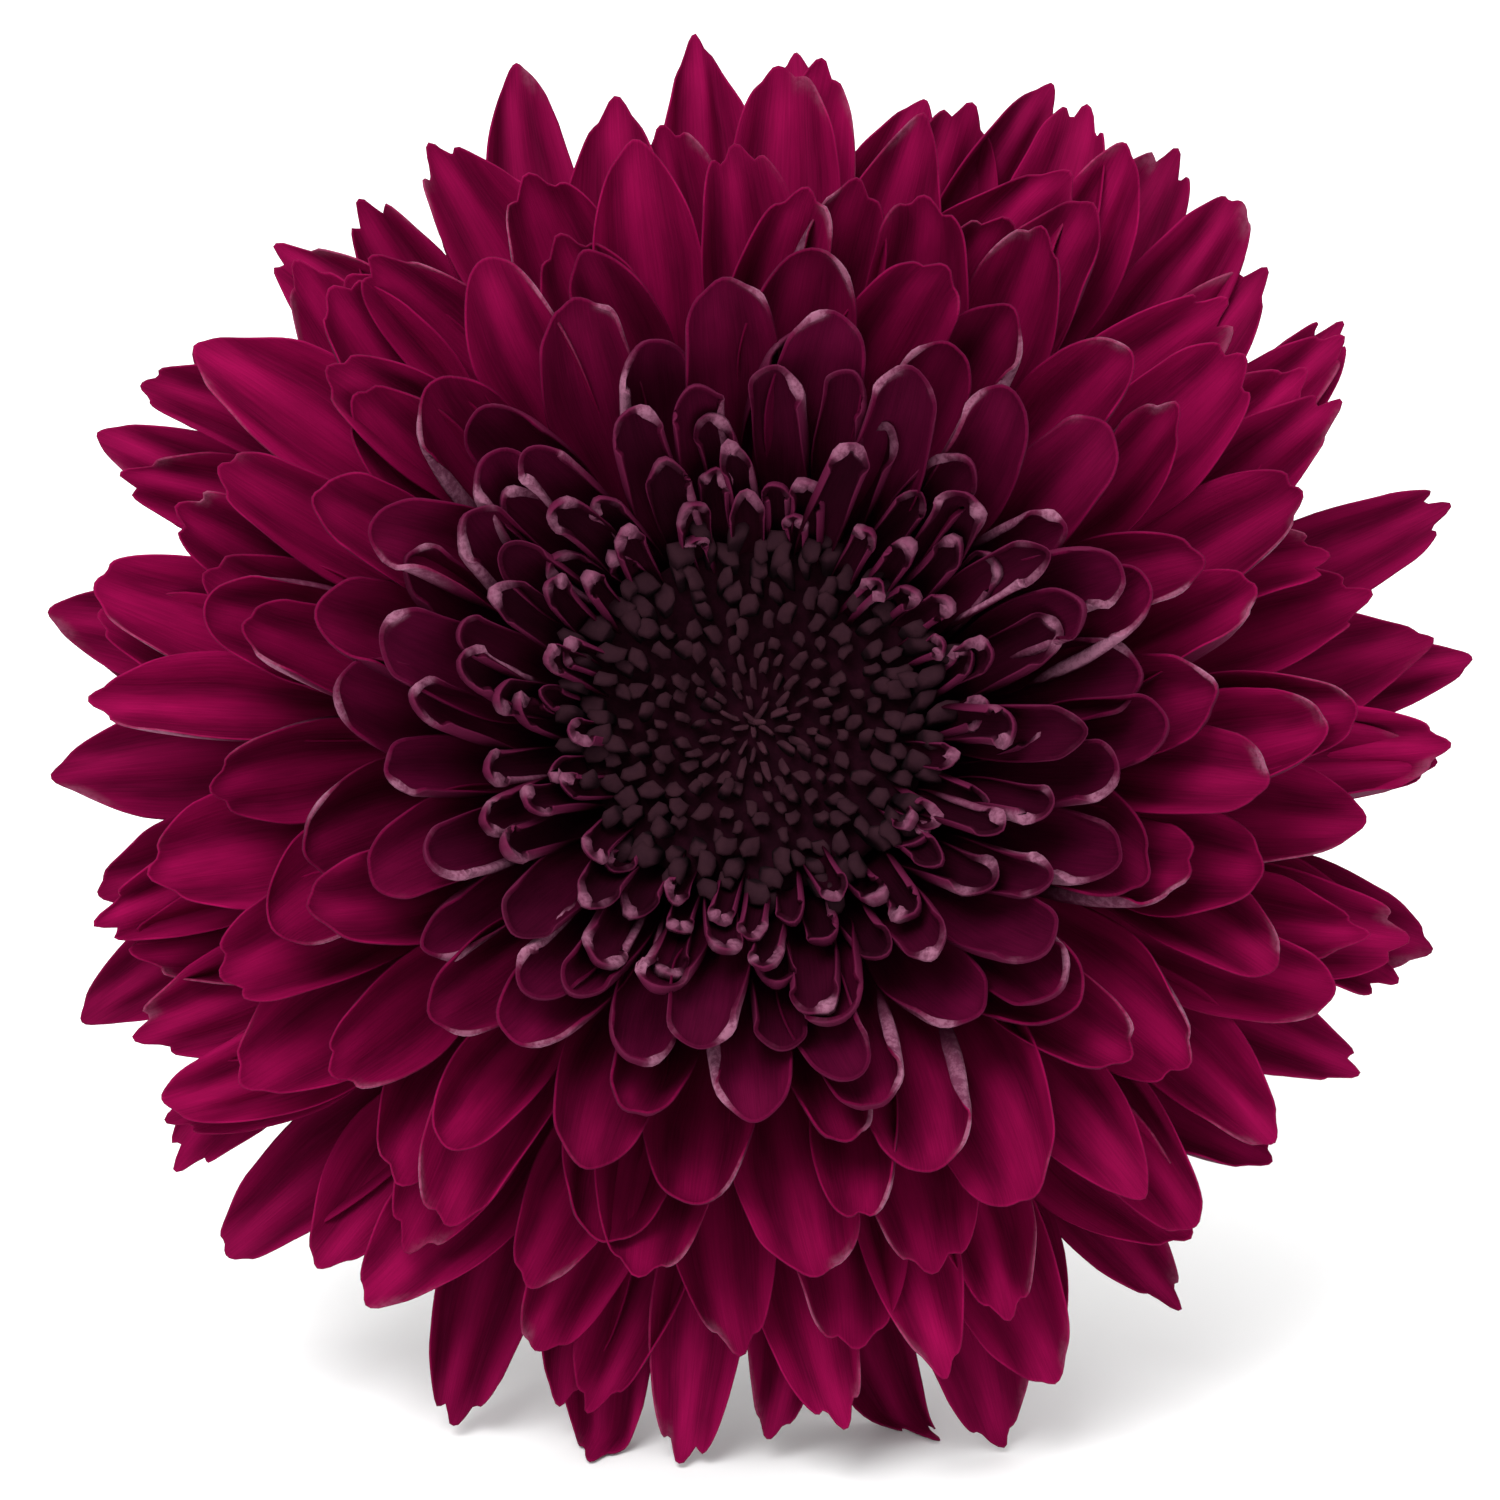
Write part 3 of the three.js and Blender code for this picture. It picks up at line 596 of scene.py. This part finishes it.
def bract_surface(i, rows=12, columns=7):
    """Bracts i: a lance-shaped outline, w^0.6 (1 - w)^0.75 over its greatest value, laid round the cup. A
    bract parts from the cup with w^2, and its margins lie closer to it than its middle."""
    i = i[:, None, None]
    share = i / (BRACT_COUNT - 1)
    w = np.linspace(0, 1, rows)[None, :, None]
    v = np.linspace(-1, 1, columns)[None, None, :]
    (r, z), (off_r, off_z) = flank(np.minimum(1, mix(0.02, 0.62, share) + w * mix(0.34, 0.4, share)))
    outline = (w + 0.06) ** 0.6 * (1.02 - w) ** 0.75 / 0.55
    half = mix(1.7, 2.5, share) * (1 + 0.12 * swing(i, "bract width")) * outline
    tip_off = mix(0.7, 1.35, share) * (1 + 0.3 * swing(i, "bract tip"))
    off = mix(0.05, tip_off, w ** 2) - 0.4 * v * v * (1 - 0.5 * w) * outline
    angle = i * GOLDEN_ANGLE + 0.06 * swing(i, "bract azimuth") + v * half / np.maximum(4, r)
    points = round_axis(r + off_r * off, 0, z + off_z * off, angle)
    attributes = {
        "along": w, "across": v,
        "u": v * half / 20 + draw(i, "bract across") * 7, "v": w * 0.5 + draw(i, "bract along") * 5,
    }
    return points, attributes


cup_share = np.linspace(0, 1, 14)
(cup_radius, cup_height), _ = flank(cup_share)
cup_profile = [(0, cup_height[0]), *zip(cup_radius, cup_height), (0, cup_height[-1])]
cup = turned_shape("involucre_cup", cup_profile, 48)
ride_and_replace(cup, "bract", "involucre")
points, attributes = bract_surface(np.arange(BRACT_COUNT))
bract_thickness = 0.5 * (1 - 0.6 * attributes["across"] ** 2)
bracts = blades("involucre_bracts", to_row(points), bract_thickness, attributes, (0.0, 1.0))
ride_and_replace(bracts, "bract", "involucre")

# %% [markdown]
# ## The stem
#
# A ridged tube follows one cubic curve. It leaves the cup straight, and reaches the table at the cut.
# Blender can sweep a bevel along a curve, but its twist can't be chosen ring by ring. Here one axis of each
# ring always turns to the table, so that a rib, and not a groove, touches it. Four rings that shrink inside
# the last one make the rounded edge and the cut face.

# %% The stem
STEM_RADIUS = 2.8
STEM_RIB = 0.04  # height of its ribs, as a share of the radius
STEM_FLARE = 0.1  # what it widens by under the cup
STEM_END_SHIFT = (6.0, -3.0)
# Rings of the cut end: share of the radius, depth, and how far the ring belongs to the cut face.
CUT_RINGS = [(0.975, -0.06, 0.3), (0.93, 0.0, 1), (0.5, 0.1, 1), (0, 0.12, 1)]
stem_end_height = STEM_RADIUS * (1 + STEM_RIB) * UP[1]
stem_top = np.array([0, 0, FLANK[0, 1] + 0.2])
stem_end = np.array([
    STEM_END_SHIFT[0], STEM_END_SHIFT[1],
    (stem_end_height - HEAD_HEIGHT - STEM_END_SHIFT[1] * UP[1]) / UP[2],
])
stem_reach = np.array([0, 0, (stem_top[2] - stem_end[2]) / 3])
STEM_CURVE = np.array([stem_top, stem_top - stem_reach, stem_end + stem_reach, stem_end])


def cubic(curve, t):
    """Points of the cubic through its four handles, and its direction there as a unit vector."""
    t = np.asarray(t, float)[..., None]
    a, b, c, d = curve
    point = (1 - t) ** 3 * a + 3 * (1 - t) ** 2 * t * b + 3 * (1 - t) * t * t * c + t ** 3 * d
    slope = 3 * (1 - t) ** 2 * (b - a) + 6 * (1 - t) * t * (c - b) + 3 * t * t * (d - c)
    return point, slope / np.linalg.norm(slope, axis=-1, keepdims=True)


def stem_rings(rings=60, sides=40):
    """Rings round the stem's curve, closed at both ends. The radius follows 1 plus a cosine of 5 times the
    angle, for the ribs, and a fainter one of 11 times the angle that turns along the stem."""
    t = np.concatenate([[0], np.linspace(0, 1, rings), np.ones(len(CUT_RINGS))])
    shrink, sink, cut = np.array([(0, 0, 0), *[(1, 0, 0)] * rings, *CUT_RINGS]).T[..., None]
    centre, along = cubic(STEM_CURVE, t)
    down = -UP + (along @ UP)[:, None] * along
    down /= np.linalg.norm(down, axis=-1, keepdims=True)
    side = np.cross(down, along)
    angle = np.arange(sides) * 2 * math.pi / sides
    ribs = 1 + STEM_RIB * np.cos(5 * angle) + 0.012 * np.cos(11 * angle + 9 * t[:, None])
    swell = np.minimum(ribs, 1 + STEM_RIB) + STEM_FLARE * smooth(t, 0.1, 0.0)[:, None]
    radius = STEM_RADIUS * shrink * swell
    turn = np.cos(angle)[:, None] * down[:, None] + np.sin(angle)[:, None] * side[:, None]
    points = (centre - sink * along)[:, None] + radius[..., None] * turn
    attributes = {
        "along": t[:, None], "cut": cut, "core": shrink, "across": np.cos(angle), "side": np.sin(angle),
    }
    return points[None], attributes


points, attributes = stem_rings()
stem = rings_object("stem_skin", points, attributes)
ride_and_replace(stem, "stem", "stem")

# %% [markdown]
# ## The leaves
#
# A chrysanthemum leaf is lobed, dark above and greyish below, with its veins running out to the lobes. The
# outline is a list of half widths along the midrib, which a running average smooths, and the margins lie
# forward and fold up. A picture of a leaf on a flat card would be cheaper, but its edge would catch no
# light. A vein is a line of constant w - k v, and a bell curve round it sinks the surface and colours it
# later.

# %% A lobed leaf
# Each leaf: how far along the stem it grows, its azimuth in degrees, its length and its half width.
LEAVES = [(0.34, 158, 46, 14), (0.52, 22, 50, 15), (0.12, 100, 24, 4.2)]
LOBES = np.array([
    (0, 0.06), (0.2, 0.06), (0.25, 0.3), (0.3, 0.62), (0.36, 0.56), (0.4, 0.27), (0.46, 0.6), (0.52, 0.98),
    (0.58, 0.86), (0.62, 0.42), (0.68, 0.62), (0.74, 0.8), (0.79, 0.64), (0.82, 0.42), (0.88, 0.45),
    (0.95, 0.24), (1, 0.03),
])
LEAF_FORWARD = 0.3
LEAF_FOLD = 0.28
LEAF_THICKNESS = 0.42
MIDRIB = np.array([(0, 0), (0.2, 0.26), (0.5, 0.5), (0.8, 0.42)])
MIDRIB_SWELLING = 0.75
VEINS = [(0.2, 0.14), (0.35, 0.19), (0.43, 0.15), (0.58, 0.17), (0.68, 0.12), (0.8, 0.09)]  # place, slant
VEIN_DEPTH = 0.3
SIMPLE_BELOW = 30  # a shorter leaf has no lobes


def leaf_outline(length, w):
    """Share of the half width at w: a sine for a small leaf, else the lobes in a running average."""
    if length < SIMPLE_BELOW:
        return mix(0.06, 1, np.sin(math.pi * w))
    window = np.hanning(9)[1:-1]
    lobes = np.interp(w, *LOBES.T)
    return np.convolve(np.pad(lobes, len(window) // 2, "edge"), window / window.sum(), "valid")


def leaf_surface(share, azimuth_degrees, length, half_width, rows=130, columns=33):
    """One leaf as a grid: its midrib, a cubic, leaves the stem towards the head and arches out. The margins
    lie forward by a share of their reach r and fold up by r^2 / (r + 0.8), and a sine ruffles them."""
    azimuth = math.radians(azimuth_degrees)
    out = np.array([math.cos(azimuth), math.sin(azimuth), 0])
    axis = np.array([0, 0, 1.0])
    side = np.cross(axis, out)
    root = cubic(STEM_CURVE, share)[0] + out * STEM_RADIUS * (1 + STEM_RIB)
    w = np.linspace(0, 1, rows)
    centre, along = cubic(root + length * (MIDRIB @ np.stack([out, axis])), w)
    up = -np.cross(along, side)
    outline = leaf_outline(length, w)[:, None]
    w = w[:, None]
    v = np.linspace(-1, 1, columns)[None, :]
    teeth = 0.05 * np.sin(w * 140) * smooth(w, 0.2, 0.3)
    width = half_width * outline * (1 + teeth * smooth(np.abs(v), 0.6, 1))
    reach = np.abs(v) * width
    vein = bell(v * width, 0, 0.55)
    for place, slant in VEINS:
        line = w - place - slant * reach / (0.6 * half_width)
        vein = np.maximum(vein, 0.75 * bell(line * length, 0, 0.42) * smooth(reach, width, 0.6 * width))
    ruffle = 0.35 * np.sin(w * 31) * smooth(np.abs(v), 0.3, 1) * np.minimum(width / 4, 1) * np.sign(v)
    fold = LEAF_FOLD * reach ** 2 / (reach + 0.8) + ruffle - VEIN_DEPTH * vein * smooth(w, 0.02, 0.2)
    points = (
        centre[:, None] + side * (v * width)[..., None]
        + along[:, None] * (LEAF_FORWARD * reach)[..., None] + up[:, None] * fold[..., None]
    )
    points = points - out * 0.9 * smooth(w, 0.06, 0)[..., None]
    thickness = LEAF_THICKNESS + MIDRIB_SWELLING * bell(v * width, 0, 0.7)
    return points[None], thickness, {"vein": vein, "u": v * width / 20, "v": w * length / 20}


leaves = []
for number, leaf in enumerate(LEAVES, 1):
    points, thickness, attributes = leaf_surface(*leaf)
    blade = blades(f"leaf_blade_{number}", to_row(points), thickness, attributes, (0.0, 1.0))
    leaves.append(ride_and_replace(blade, "leaf", f"leaf_{number}"))

# %% [markdown]
# ## Materials
#
# Every finish is made of nodes. The helper below keeps their making short: it adds a node, sets its values
# and links its inputs in one call. Patterns follow the petal through the attributes and the UV map that the
# blades carry, so they turn and bend with it.

# %% A short way to write node graphs
class Graph:
    """A material's nodes. Each method makes one node and returns its output, which can feed the next."""

    def __init__(self, name):
        self.material = bpy.data.materials.new(name)
        self.material.use_nodes = True
        self.tree = self.material.node_tree
        self.shader = self.tree.nodes["Principled BSDF"]

    def add(self, kind, inputs=None, output=0, **settings):
        """Any shader node, with its inputs by number or name and its settings by name."""
        node = self.tree.nodes.new("ShaderNode" + kind)
        for key, value in settings.items():
            setattr(node, key, value)
        self.feed(node, inputs or {})
        return node.outputs[output]

    def feed(self, node, inputs):
        """Each input is linked if the value is another node's output, and set if it is a constant."""
        for key, value in inputs.items():
            if isinstance(value, bpy.types.NodeSocket):
                self.tree.links.new(value, node.inputs[key])
            else:
                node.inputs[key].default_value = value

    def attribute(self, name):
        """The number that each point carries under a name."""
        return self.add("Attribute", attribute_name=name, output=2)

    def place(self):
        """The point in the part's own coordinates, in metres."""
        return self.add("TexCoord", output=3)

    def lengthwise(self, *stretch):
        """The blades' UV map, stretched across and along."""
        uv = self.add("UVMap", uv_map="lengthwise")
        return self.add("Mapping", {0: uv, 3: (*stretch, 1)}) if stretch else uv

    def noise(self, vector, scale, detail, rough=0.5):
        """Soft noise about 0.5."""
        return self.add("TexNoise", {0: vector, "Scale": scale, "Detail": detail, "Roughness": rough})

    def math(self, operation, first, *others):
        """An operation such as ADD or MULTIPLY, on one number or on several from left to right."""
        for other in others or [0.0]:
            first = self.add("Math", {0: first, 1: other}, operation=operation)
        return first

    def times(self, *factors):
        """The product of several numbers."""
        return self.math("MULTIPLY", *factors)

    def remap(self, value, low, high, to_low=0.0, to_high=1.0):
        """A smooth step: to_low up to low, to_high from high on."""
        inputs = {0: value, 1: low, 2: high, 3: to_low, 4: to_high}
        return self.add("MapRange", inputs, interpolation_type="SMOOTHSTEP")

    def ramp(self, value, stops):
        """A colour by value, from a list of (value, colour)."""
        node = self.tree.nodes.new("ShaderNodeValToRGB")
        self.tree.links.new(value, node.inputs[0])
        elements = node.color_ramp.elements
        while len(elements) < len(stops):
            elements.new(0.5)
        for element, (place, colour) in zip(elements, stops):
            element.position = place
            element.color = (*colour, 1)
        return node.outputs[0]

    def mix(self, share, a, b, blend="MIX"):
        """The colour that lies at a share of the way from a to b."""
        return self.add("Mix", {0: share, 6: a, 7: b}, output=2, data_type="RGBA", blend_type=blend)

    def finish(self, colour, rough, specular, bump=None):
        """The material, with the shader's own sockets set, and a bump of (height, strength, distance)."""
        self.feed(self.shader, {"Base Color": colour, "Roughness": rough, "Specular IOR Level": specular})
        if bump:
            normal = self.add("Bump", dict(zip(["Height", "Strength", "Distance"], bump)))
            self.feed(self.shader, {"Normal": normal})
        return self.material


# %% [markdown]
# ## The petals' finish
#
# The upper side is a velvety crimson, nearly black in the young florets, partly by their darker pigment and
# partly by painted shade of their deep scoops. The reverse is a dull mauve. Where a margin folds over or a
# lip swells, the reverse shows as a pale bloom, brightened on the lips by a painted highlight. A texture
# would have to be painted for each floret. The attributes say the same for all at once: how old the floret
# is, where along and across it a point lies, on which side, and how much lip and painted highlight it has
# there.

# %% Petal
# Upper-side colours by age. The near black of the youngest is partly their darker pigment and partly painted
# shade of their deep scoops.
ADAXIAL = [
    (0.0, (0.012, 0.0009, 0.004)), (0.22, (0.017, 0.0009, 0.0055)), (0.4, (0.062, 0.0014, 0.017)),
    (0.55, (0.152, 0.0015, 0.033)), (0.78, (0.188, 0.0018, 0.041)), (1.0, (0.158, 0.0018, 0.036)),
]
# Painted shade: the near-black foot of the reverse, where it lies under the other florets.
REVERSE_FOOT_PAINTED_SHADE = (0.012, 0.0007, 0.0035, 1)
REVERSE_BODY = [
    (0.0, (0.090, 0.009, 0.036)), (0.5, (0.070, 0.004, 0.022)), (0.75, (0.105, 0.010, 0.038)),
    (1.0, (0.125, 0.022, 0.060)),
]
# The bloom's colours, dull to bright; the bright end, reached on the lips, is partly a painted highlight.
BLOOM_DULL = (0.13, 0.035, 0.07, 1)
BLOOM_BRIGHT_AND_HIGHLIGHT = (0.28, 0.11, 0.175, 1)


def upper_side(g, age, fine):
    """The colour for the age, times streaks, blotches and a tint, painted shade in the furrows and at the
    foot, and a painted highlight on the ridges.
    """
    blotch = g.noise(g.lengthwise(5, 3), 1.0, 2.0)
    tone_and_painted_shade = g.math("ADD", g.remap(fine, 0.3, 0.7, 0.84, 1.08), g.remap(blotch, 0.3, 0.7, -0.12, 0.12))
    # Painted shade in the furrows, and a painted highlight on the ridges between them.
    tone_and_painted_shade = g.math("SUBTRACT", tone_and_painted_shade, g.remap(g.attribute("furrow"), -0.7, 1.0, -0.15, 0.3))
    tint = g.remap(g.attribute("tint"), 0, 1, 0.86, 1.1)
    # Painted shade: the upper side darkens towards the foot, where the florets lie under one another.
    foot_painted_shade = g.remap(g.attribute("along"), 0.1, 0.7, g.remap(age, 0.3, 0.8, 0.35, 0.8), 1.0)
    tone_and_painted_shade = g.times(tone_and_painted_shade, tint, foot_painted_shade)
    return g.mix(1.0, g.ramp(age, ADAXIAL), g.add("CombineColor", {0: tone_and_painted_shade, 1: tone_and_painted_shade, 2: tone_and_painted_shade}), "MULTIPLY")


def petal_material():
    """Crimson on the upper side, mauve on the reverse, and the pale bloom on lips, rims and folded sides.
    A painted highlight brightens the lips, and painted shade darkens the furrows and the foot.
    """
    g = Graph("petal")
    age, across, tip = g.attribute("age"), g.attribute("across"), g.attribute("tip")
    strip, lip_and_highlight = g.attribute("strip"), g.attribute("lip_and_highlight")
    fine = g.noise(g.lengthwise(60, 3), 1.0, 3.0, 0.6)
    grain = g.noise(g.place(), 1800.0, 3.0, 0.7)

    # The bloom is brighter by the grain and on a lip, where the brightening is a painted highlight, and it is
    #     duller on the youngest.
    pale_and_highlight = g.math("ADD", g.times(lip_and_highlight, 0.8), g.remap(grain, 0.32, 0.68, -0.35, 0.6))
    bloom = g.mix(g.times(pale_and_highlight, g.remap(age, 0.1, 0.4, 0.3, 1.0)), BLOOM_DULL, BLOOM_BRIGHT_AND_HIGHLIGHT)

    # The upper side has the bloom on its rim where there is a lip, and there it is partly a painted
    # highlight.
    sides = g.times(g.remap(g.math("ABSOLUTE", across), 0.97, 1.0), g.remap(tip, 0.7, 0.95, 0.0, 0.7))
    rim = g.times(g.math("MAXIMUM", sides, g.remap(tip, 0.96, 1.0)), g.remap(lip_and_highlight, 0.02, 0.7, 0.0, 0.9))
    edge = g.times(rim, g.remap(grain, 0.3, 0.55, 0.7, 1.0), g.remap(age, 0.1, 0.8, 1.0, 0.3))
    upper = g.mix(edge, upper_side(g, age, fine), bloom)

    # The reverse is near black at the foot, a painted shade where florets lie under one another, and mauve
    #     above it. It has the bloom at the tip and on a folded side, on a lip partly as a painted highlight.
    body = g.remap(tip, g.remap(age, 0.2, 0.6, 0.7, 0.4), 0.95)
    lower = g.mix(body, REVERSE_FOOT_PAINTED_SHADE, g.ramp(age, REVERSE_BODY))
    frost = g.math("ADD", g.times(lip_and_highlight, 0.1), g.times(strip, 0.18), tip)
    share = g.remap(lip_and_highlight, 0.02, 0.7, 0.04, g.remap(age, 0.1, 0.35, 0.78, 0.9))
    share = g.math("MINIMUM", g.math("ADD", share, g.times(strip, 0.7)), 1.0)
    lower = g.mix(g.times(g.remap(frost, 0.86, 1.04), share), lower, bloom)

    # Across the rim, face runs from 0 to 1, and the reverse reaches over a part of it.
    by_place = g.remap(tip, 0.5, 0.95, g.remap(age, 0.2, 0.5, 1.0, 0.25), 1.0)
    soft = g.times(g.remap(age, 0.6, 0.95, 0.4, 0.08), by_place)
    colour = g.mix(g.remap(g.attribute("face"), 0.0, soft), lower, upper)
    return g.finish(colour, rough=0.7, specular=0.015, bump=(fine, 0.3, 0.0002))


petal = petal_material()
for piece in rays:
    piece.data.materials.append(petal)

# %% [markdown]
# ## The buds' finish and the depths
#
# The buds are near black below their tops, a painted shade of the gaps between them, and their tops are a
# dull grey mauve that is lighter in the middle of the disc. From between them and the florets hardly any
# light comes back, so one dark finish is enough for mound and receptacle. Soft noise keeps both from
# looking flat, and needs no UV map.

# %% Depths, buds and the receptacle
BUD_TOPS = [(0.0, (0.044, 0.013, 0.021)), (0.5, (0.024, 0.0065, 0.011)), (1.0, (0.019, 0.005, 0.009))]
BUD_SPECKS = (0.014, 0.003, 0.007, 1)
# Painted shade: the near-black foot of the buds, for the dark gaps between them.
BUD_FOOT_PAINTED_SHADE = (0.008, 0.0012, 0.0035, 1)
DEPTHS = [(0.008, 0.0010, 0.0032, 1), (0.013, 0.0016, 0.005, 1)]


def plain_material(name, colours, scale, rough, specular):
    """Two close colours mixed by noise in the part's own coordinates, with a little bump."""
    g = Graph(name)
    noise = g.noise(g.place(), scale, 4.0, 0.6)
    mixed = g.mix(g.remap(noise, 0.35, 0.65), *colours)
    return g.finish(mixed, rough, specular, bump=(noise, 0.35, 0.0003))


def bud_material():
    """Near black at the foot, as a painted shade of the gaps, and on the blunt top a dull grey mauve by
    age, with darker specks.
    """
    g = Graph("bud")
    noise = g.noise(g.place(), 1500.0, 3.0)
    tops = g.mix(g.remap(noise, 0.3, 0.7, 0, 0.5), g.ramp(g.attribute("age"), BUD_TOPS), BUD_SPECKS)
    colour = g.mix(g.remap(g.attribute("along"), 0.6, 0.98), BUD_FOOT_PAINTED_SHADE, tops)
    return g.finish(colour, rough=0.85, specular=0.08, bump=(noise, 0.4, 0.0002))


buds.data.materials.append(bud_material())
dark = plain_material("depths", DEPTHS, 900.0, 0.9, 0.03)
mound.data.materials.append(dark)
receptacle.data.materials.append(dark)

# %% [markdown]
# ## The green parts' finishes
#
# Bracts have a papery brown margin. The stem has fine streaks, a purple blush under the head and pale pith
# where it is cut. Leaves are dark above and greyish below, with a net of veins. Each pattern follows the
# attributes that say where on the piece a point lies, so nothing is painted.

# %% Green parts
BRACT_GREENS = [(0.045, 0.075, 0.018, 1), (0.085, 0.125, 0.035, 1)]
BRACT_MIDDLE = (0.03, 0.055, 0.012, 1)
BRACT_PAPER = (0.16, 0.095, 0.045, 1)
CUP_GREENS = [(0.040, 0.065, 0.015, 1), (0.075, 0.11, 0.03, 1)]
STEM_GREENS = [(0.075, 0.13, 0.03, 1), (0.13, 0.20, 0.055, 1)]
STEM_BLUSH = (0.10, 0.035, 0.04, 1)
PITH = [
    (0.0, (0.45, 0.46, 0.30)), (0.55, (0.38, 0.42, 0.22)),
    (0.85, (0.17, 0.24, 0.08)), (1.0, (0.10, 0.15, 0.04)),
]
PITH_STAIN = (0.20, 0.16, 0.08, 1)
LEAF_ABOVE = [(0.022, 0.052, 0.011, 1), (0.042, 0.088, 0.020, 1)]
LEAF_BELOW = [(0.095, 0.135, 0.055, 1), (0.125, 0.165, 0.075, 1)]
LEAF_NET = (0.060, 0.110, 0.030, 1)
VEIN_ABOVE, VEIN_BELOW = (0.13, 0.19, 0.07, 1), (0.22, 0.27, 0.13, 1)


def bract_material():
    """Green with a darker middle, and a papery brown margin and tip."""
    g = Graph("bract")
    fine = g.noise(g.lengthwise(40, 4), 1.0, 3.0)
    off_middle = g.math("ABSOLUTE", g.attribute("across"))
    green = g.mix(g.remap(fine, 0.3, 0.7), *BRACT_GREENS)
    green = g.mix(g.remap(off_middle, 0.0, 0.22, 0.55, 0.0), green, BRACT_MIDDLE)
    edge = g.math("MAXIMUM", g.remap(off_middle, 0.62, 0.95), g.remap(g.attribute("along"), 0.86, 1.0))
    colour = g.mix(g.times(edge, 0.8), green, BRACT_PAPER)
    return g.finish(colour, rough=0.75, specular=0.15, bump=(fine, 0.3, 0.0002))


def stem_material():
    """Green with fine streaks along it, a purple blush near the head, and pale pith where it is cut."""
    g = Graph("stem")
    along, across, side = g.attribute("along"), g.attribute("across"), g.attribute("side")
    place = g.add("CombineXYZ", {0: across, 1: side, 2: g.times(along, 1.2)})
    streaks = g.noise(g.add("Mapping", {0: place, 3: (9, 9, 6)}), 1.0, 4.0)
    green = g.mix(g.remap(streaks, 0.3, 0.7), *STEM_GREENS)
    blush = g.times(g.remap(along, 0.0, 0.45, 0.6, 0.0), g.remap(streaks, 0.35, 0.65))
    green = g.mix(blush, green, STEM_BLUSH)
    pith = g.mix(g.remap(streaks, 0.4, 0.6, 0.0, 0.4), g.ramp(g.attribute("core"), PITH), PITH_STAIN)
    colour = g.mix(g.attribute("cut"), green, pith)
    return g.finish(colour, rough=0.6, specular=0.25, bump=(streaks, 0.35, 0.0003))


def leaf_material():
    """Dark green above with a fine net of cells, greyish below, and paler veins on both."""
    g = Graph("leaf")
    vein, uv = g.attribute("vein"), g.lengthwise()
    cells = g.add("TexVoronoi", {0: uv, "Scale": 22.0}, feature="DISTANCE_TO_EDGE")
    patches = g.remap(g.noise(uv, 5.0, 4.0), 0.3, 0.7)
    above = g.mix(g.remap(cells, 0.0, 0.08, 0.35, 0.0), g.mix(patches, *LEAF_ABOVE), LEAF_NET)
    above = g.mix(g.times(vein, 0.75), above, VEIN_ABOVE)
    below = g.mix(g.times(vein, 0.6), g.mix(patches, *LEAF_BELOW), VEIN_BELOW)
    colour = g.mix(g.attribute("face"), below, above)
    height = g.math("SUBTRACT", g.remap(cells, 0.0, 0.12), g.times(vein, 0.6))
    return g.finish(colour, rough=0.55, specular=0.3, bump=(height, 0.35, 0.0003))


bracts.data.materials.append(bract_material())
cup.data.materials.append(plain_material("cup_green", CUP_GREENS, 600.0, 0.8, 0.1))
stem.data.materials.append(stem_material())
foliage = leaf_material()
for blade in leaves:
    blade.data.materials.append(foliage)

# %% [markdown]
# ## Table, light and camera
#
# The picture is taken nearly square on to the bloom, a little below its axis, in soft light with a white
# surround. A large light over the front and a larger one overhead give the petals their form, and the world
# fills the rest.

# %% Stage
FLOOR_WHITES = [(0.90, 0.90, 0.90, 1), (0.92, 0.92, 0.92, 1)]
LIT_POINT = (0.0, 0.0, 12.0)  # in the bloom's frame, in millimetres


def table():
    """A wide pale floor at the height that the flower rests on."""
    bpy.ops.mesh.primitive_plane_add(size=30, location=(0, 0, 0))
    floor = bpy.context.object
    floor.name = "table"
    g = Graph("table_white")
    white = g.mix(g.noise(g.place(), 40.0, 2.0), *FLOOR_WHITES)
    floor.data.materials.append(g.finish(white, rough=0.9, specular=0.1))


def soft_light(name, place, target, size, power):
    """A square area light at a place, in metres, turned towards a target."""
    data = bpy.data.lights.new(name, "AREA")
    data.size, data.energy = size, power
    light = bpy.data.objects.new(name, data)
    light.location = place
    light.rotation_euler = (Vector(target) - Vector(place)).to_track_quat("-Z", "Y").to_euler()
    bpy.context.scene.collection.objects.link(light)


table()
scene = bpy.context.scene
scene.world = bpy.data.worlds.new("surround")
scene.world.use_nodes = True
surround = scene.world.node_tree.nodes["Background"]
surround.inputs["Color"].default_value = (1, 1, 1, 1)
surround.inputs["Strength"].default_value = 1.0
bloom_centre = Vector(to_row(np.array(LIT_POINT)) * MM)
soft_light("key", (-0.3, -0.6, 0.9), bloom_centre, size=0.6, power=10)
soft_light("overhead", (0.1, 0.4, 1.5), bloom_centre, size=1.8, power=16)
scene.view_settings.view_transform = "Standard"

# %% Camera
VIEW_BELOW_AXIS = math.radians(7)
CAMERA_DISTANCE = 0.6
VIEW_WIDTH = 0.1148
AIM = (-0.4, -1.0, 8.0)  # in the bloom's frame, in millimetres
elevation = HEAD_TILT - VIEW_BELOW_AXIS
towards = Vector((0, -math.cos(elevation), math.sin(elevation)))
camera_data = bpy.data.cameras.new("camera")
camera = bpy.data.objects.new("camera", camera_data)
camera.location = Vector(to_row(np.array(AIM)) * MM) + towards * CAMERA_DISTANCE
camera.rotation_euler = (-towards).to_track_quat("-Z", "Y").to_euler()
camera_data.lens = camera_data.sensor_width * CAMERA_DISTANCE / VIEW_WIDTH
camera_data.clip_start = 0.01
scene.collection.objects.link(camera)
scene.camera = camera
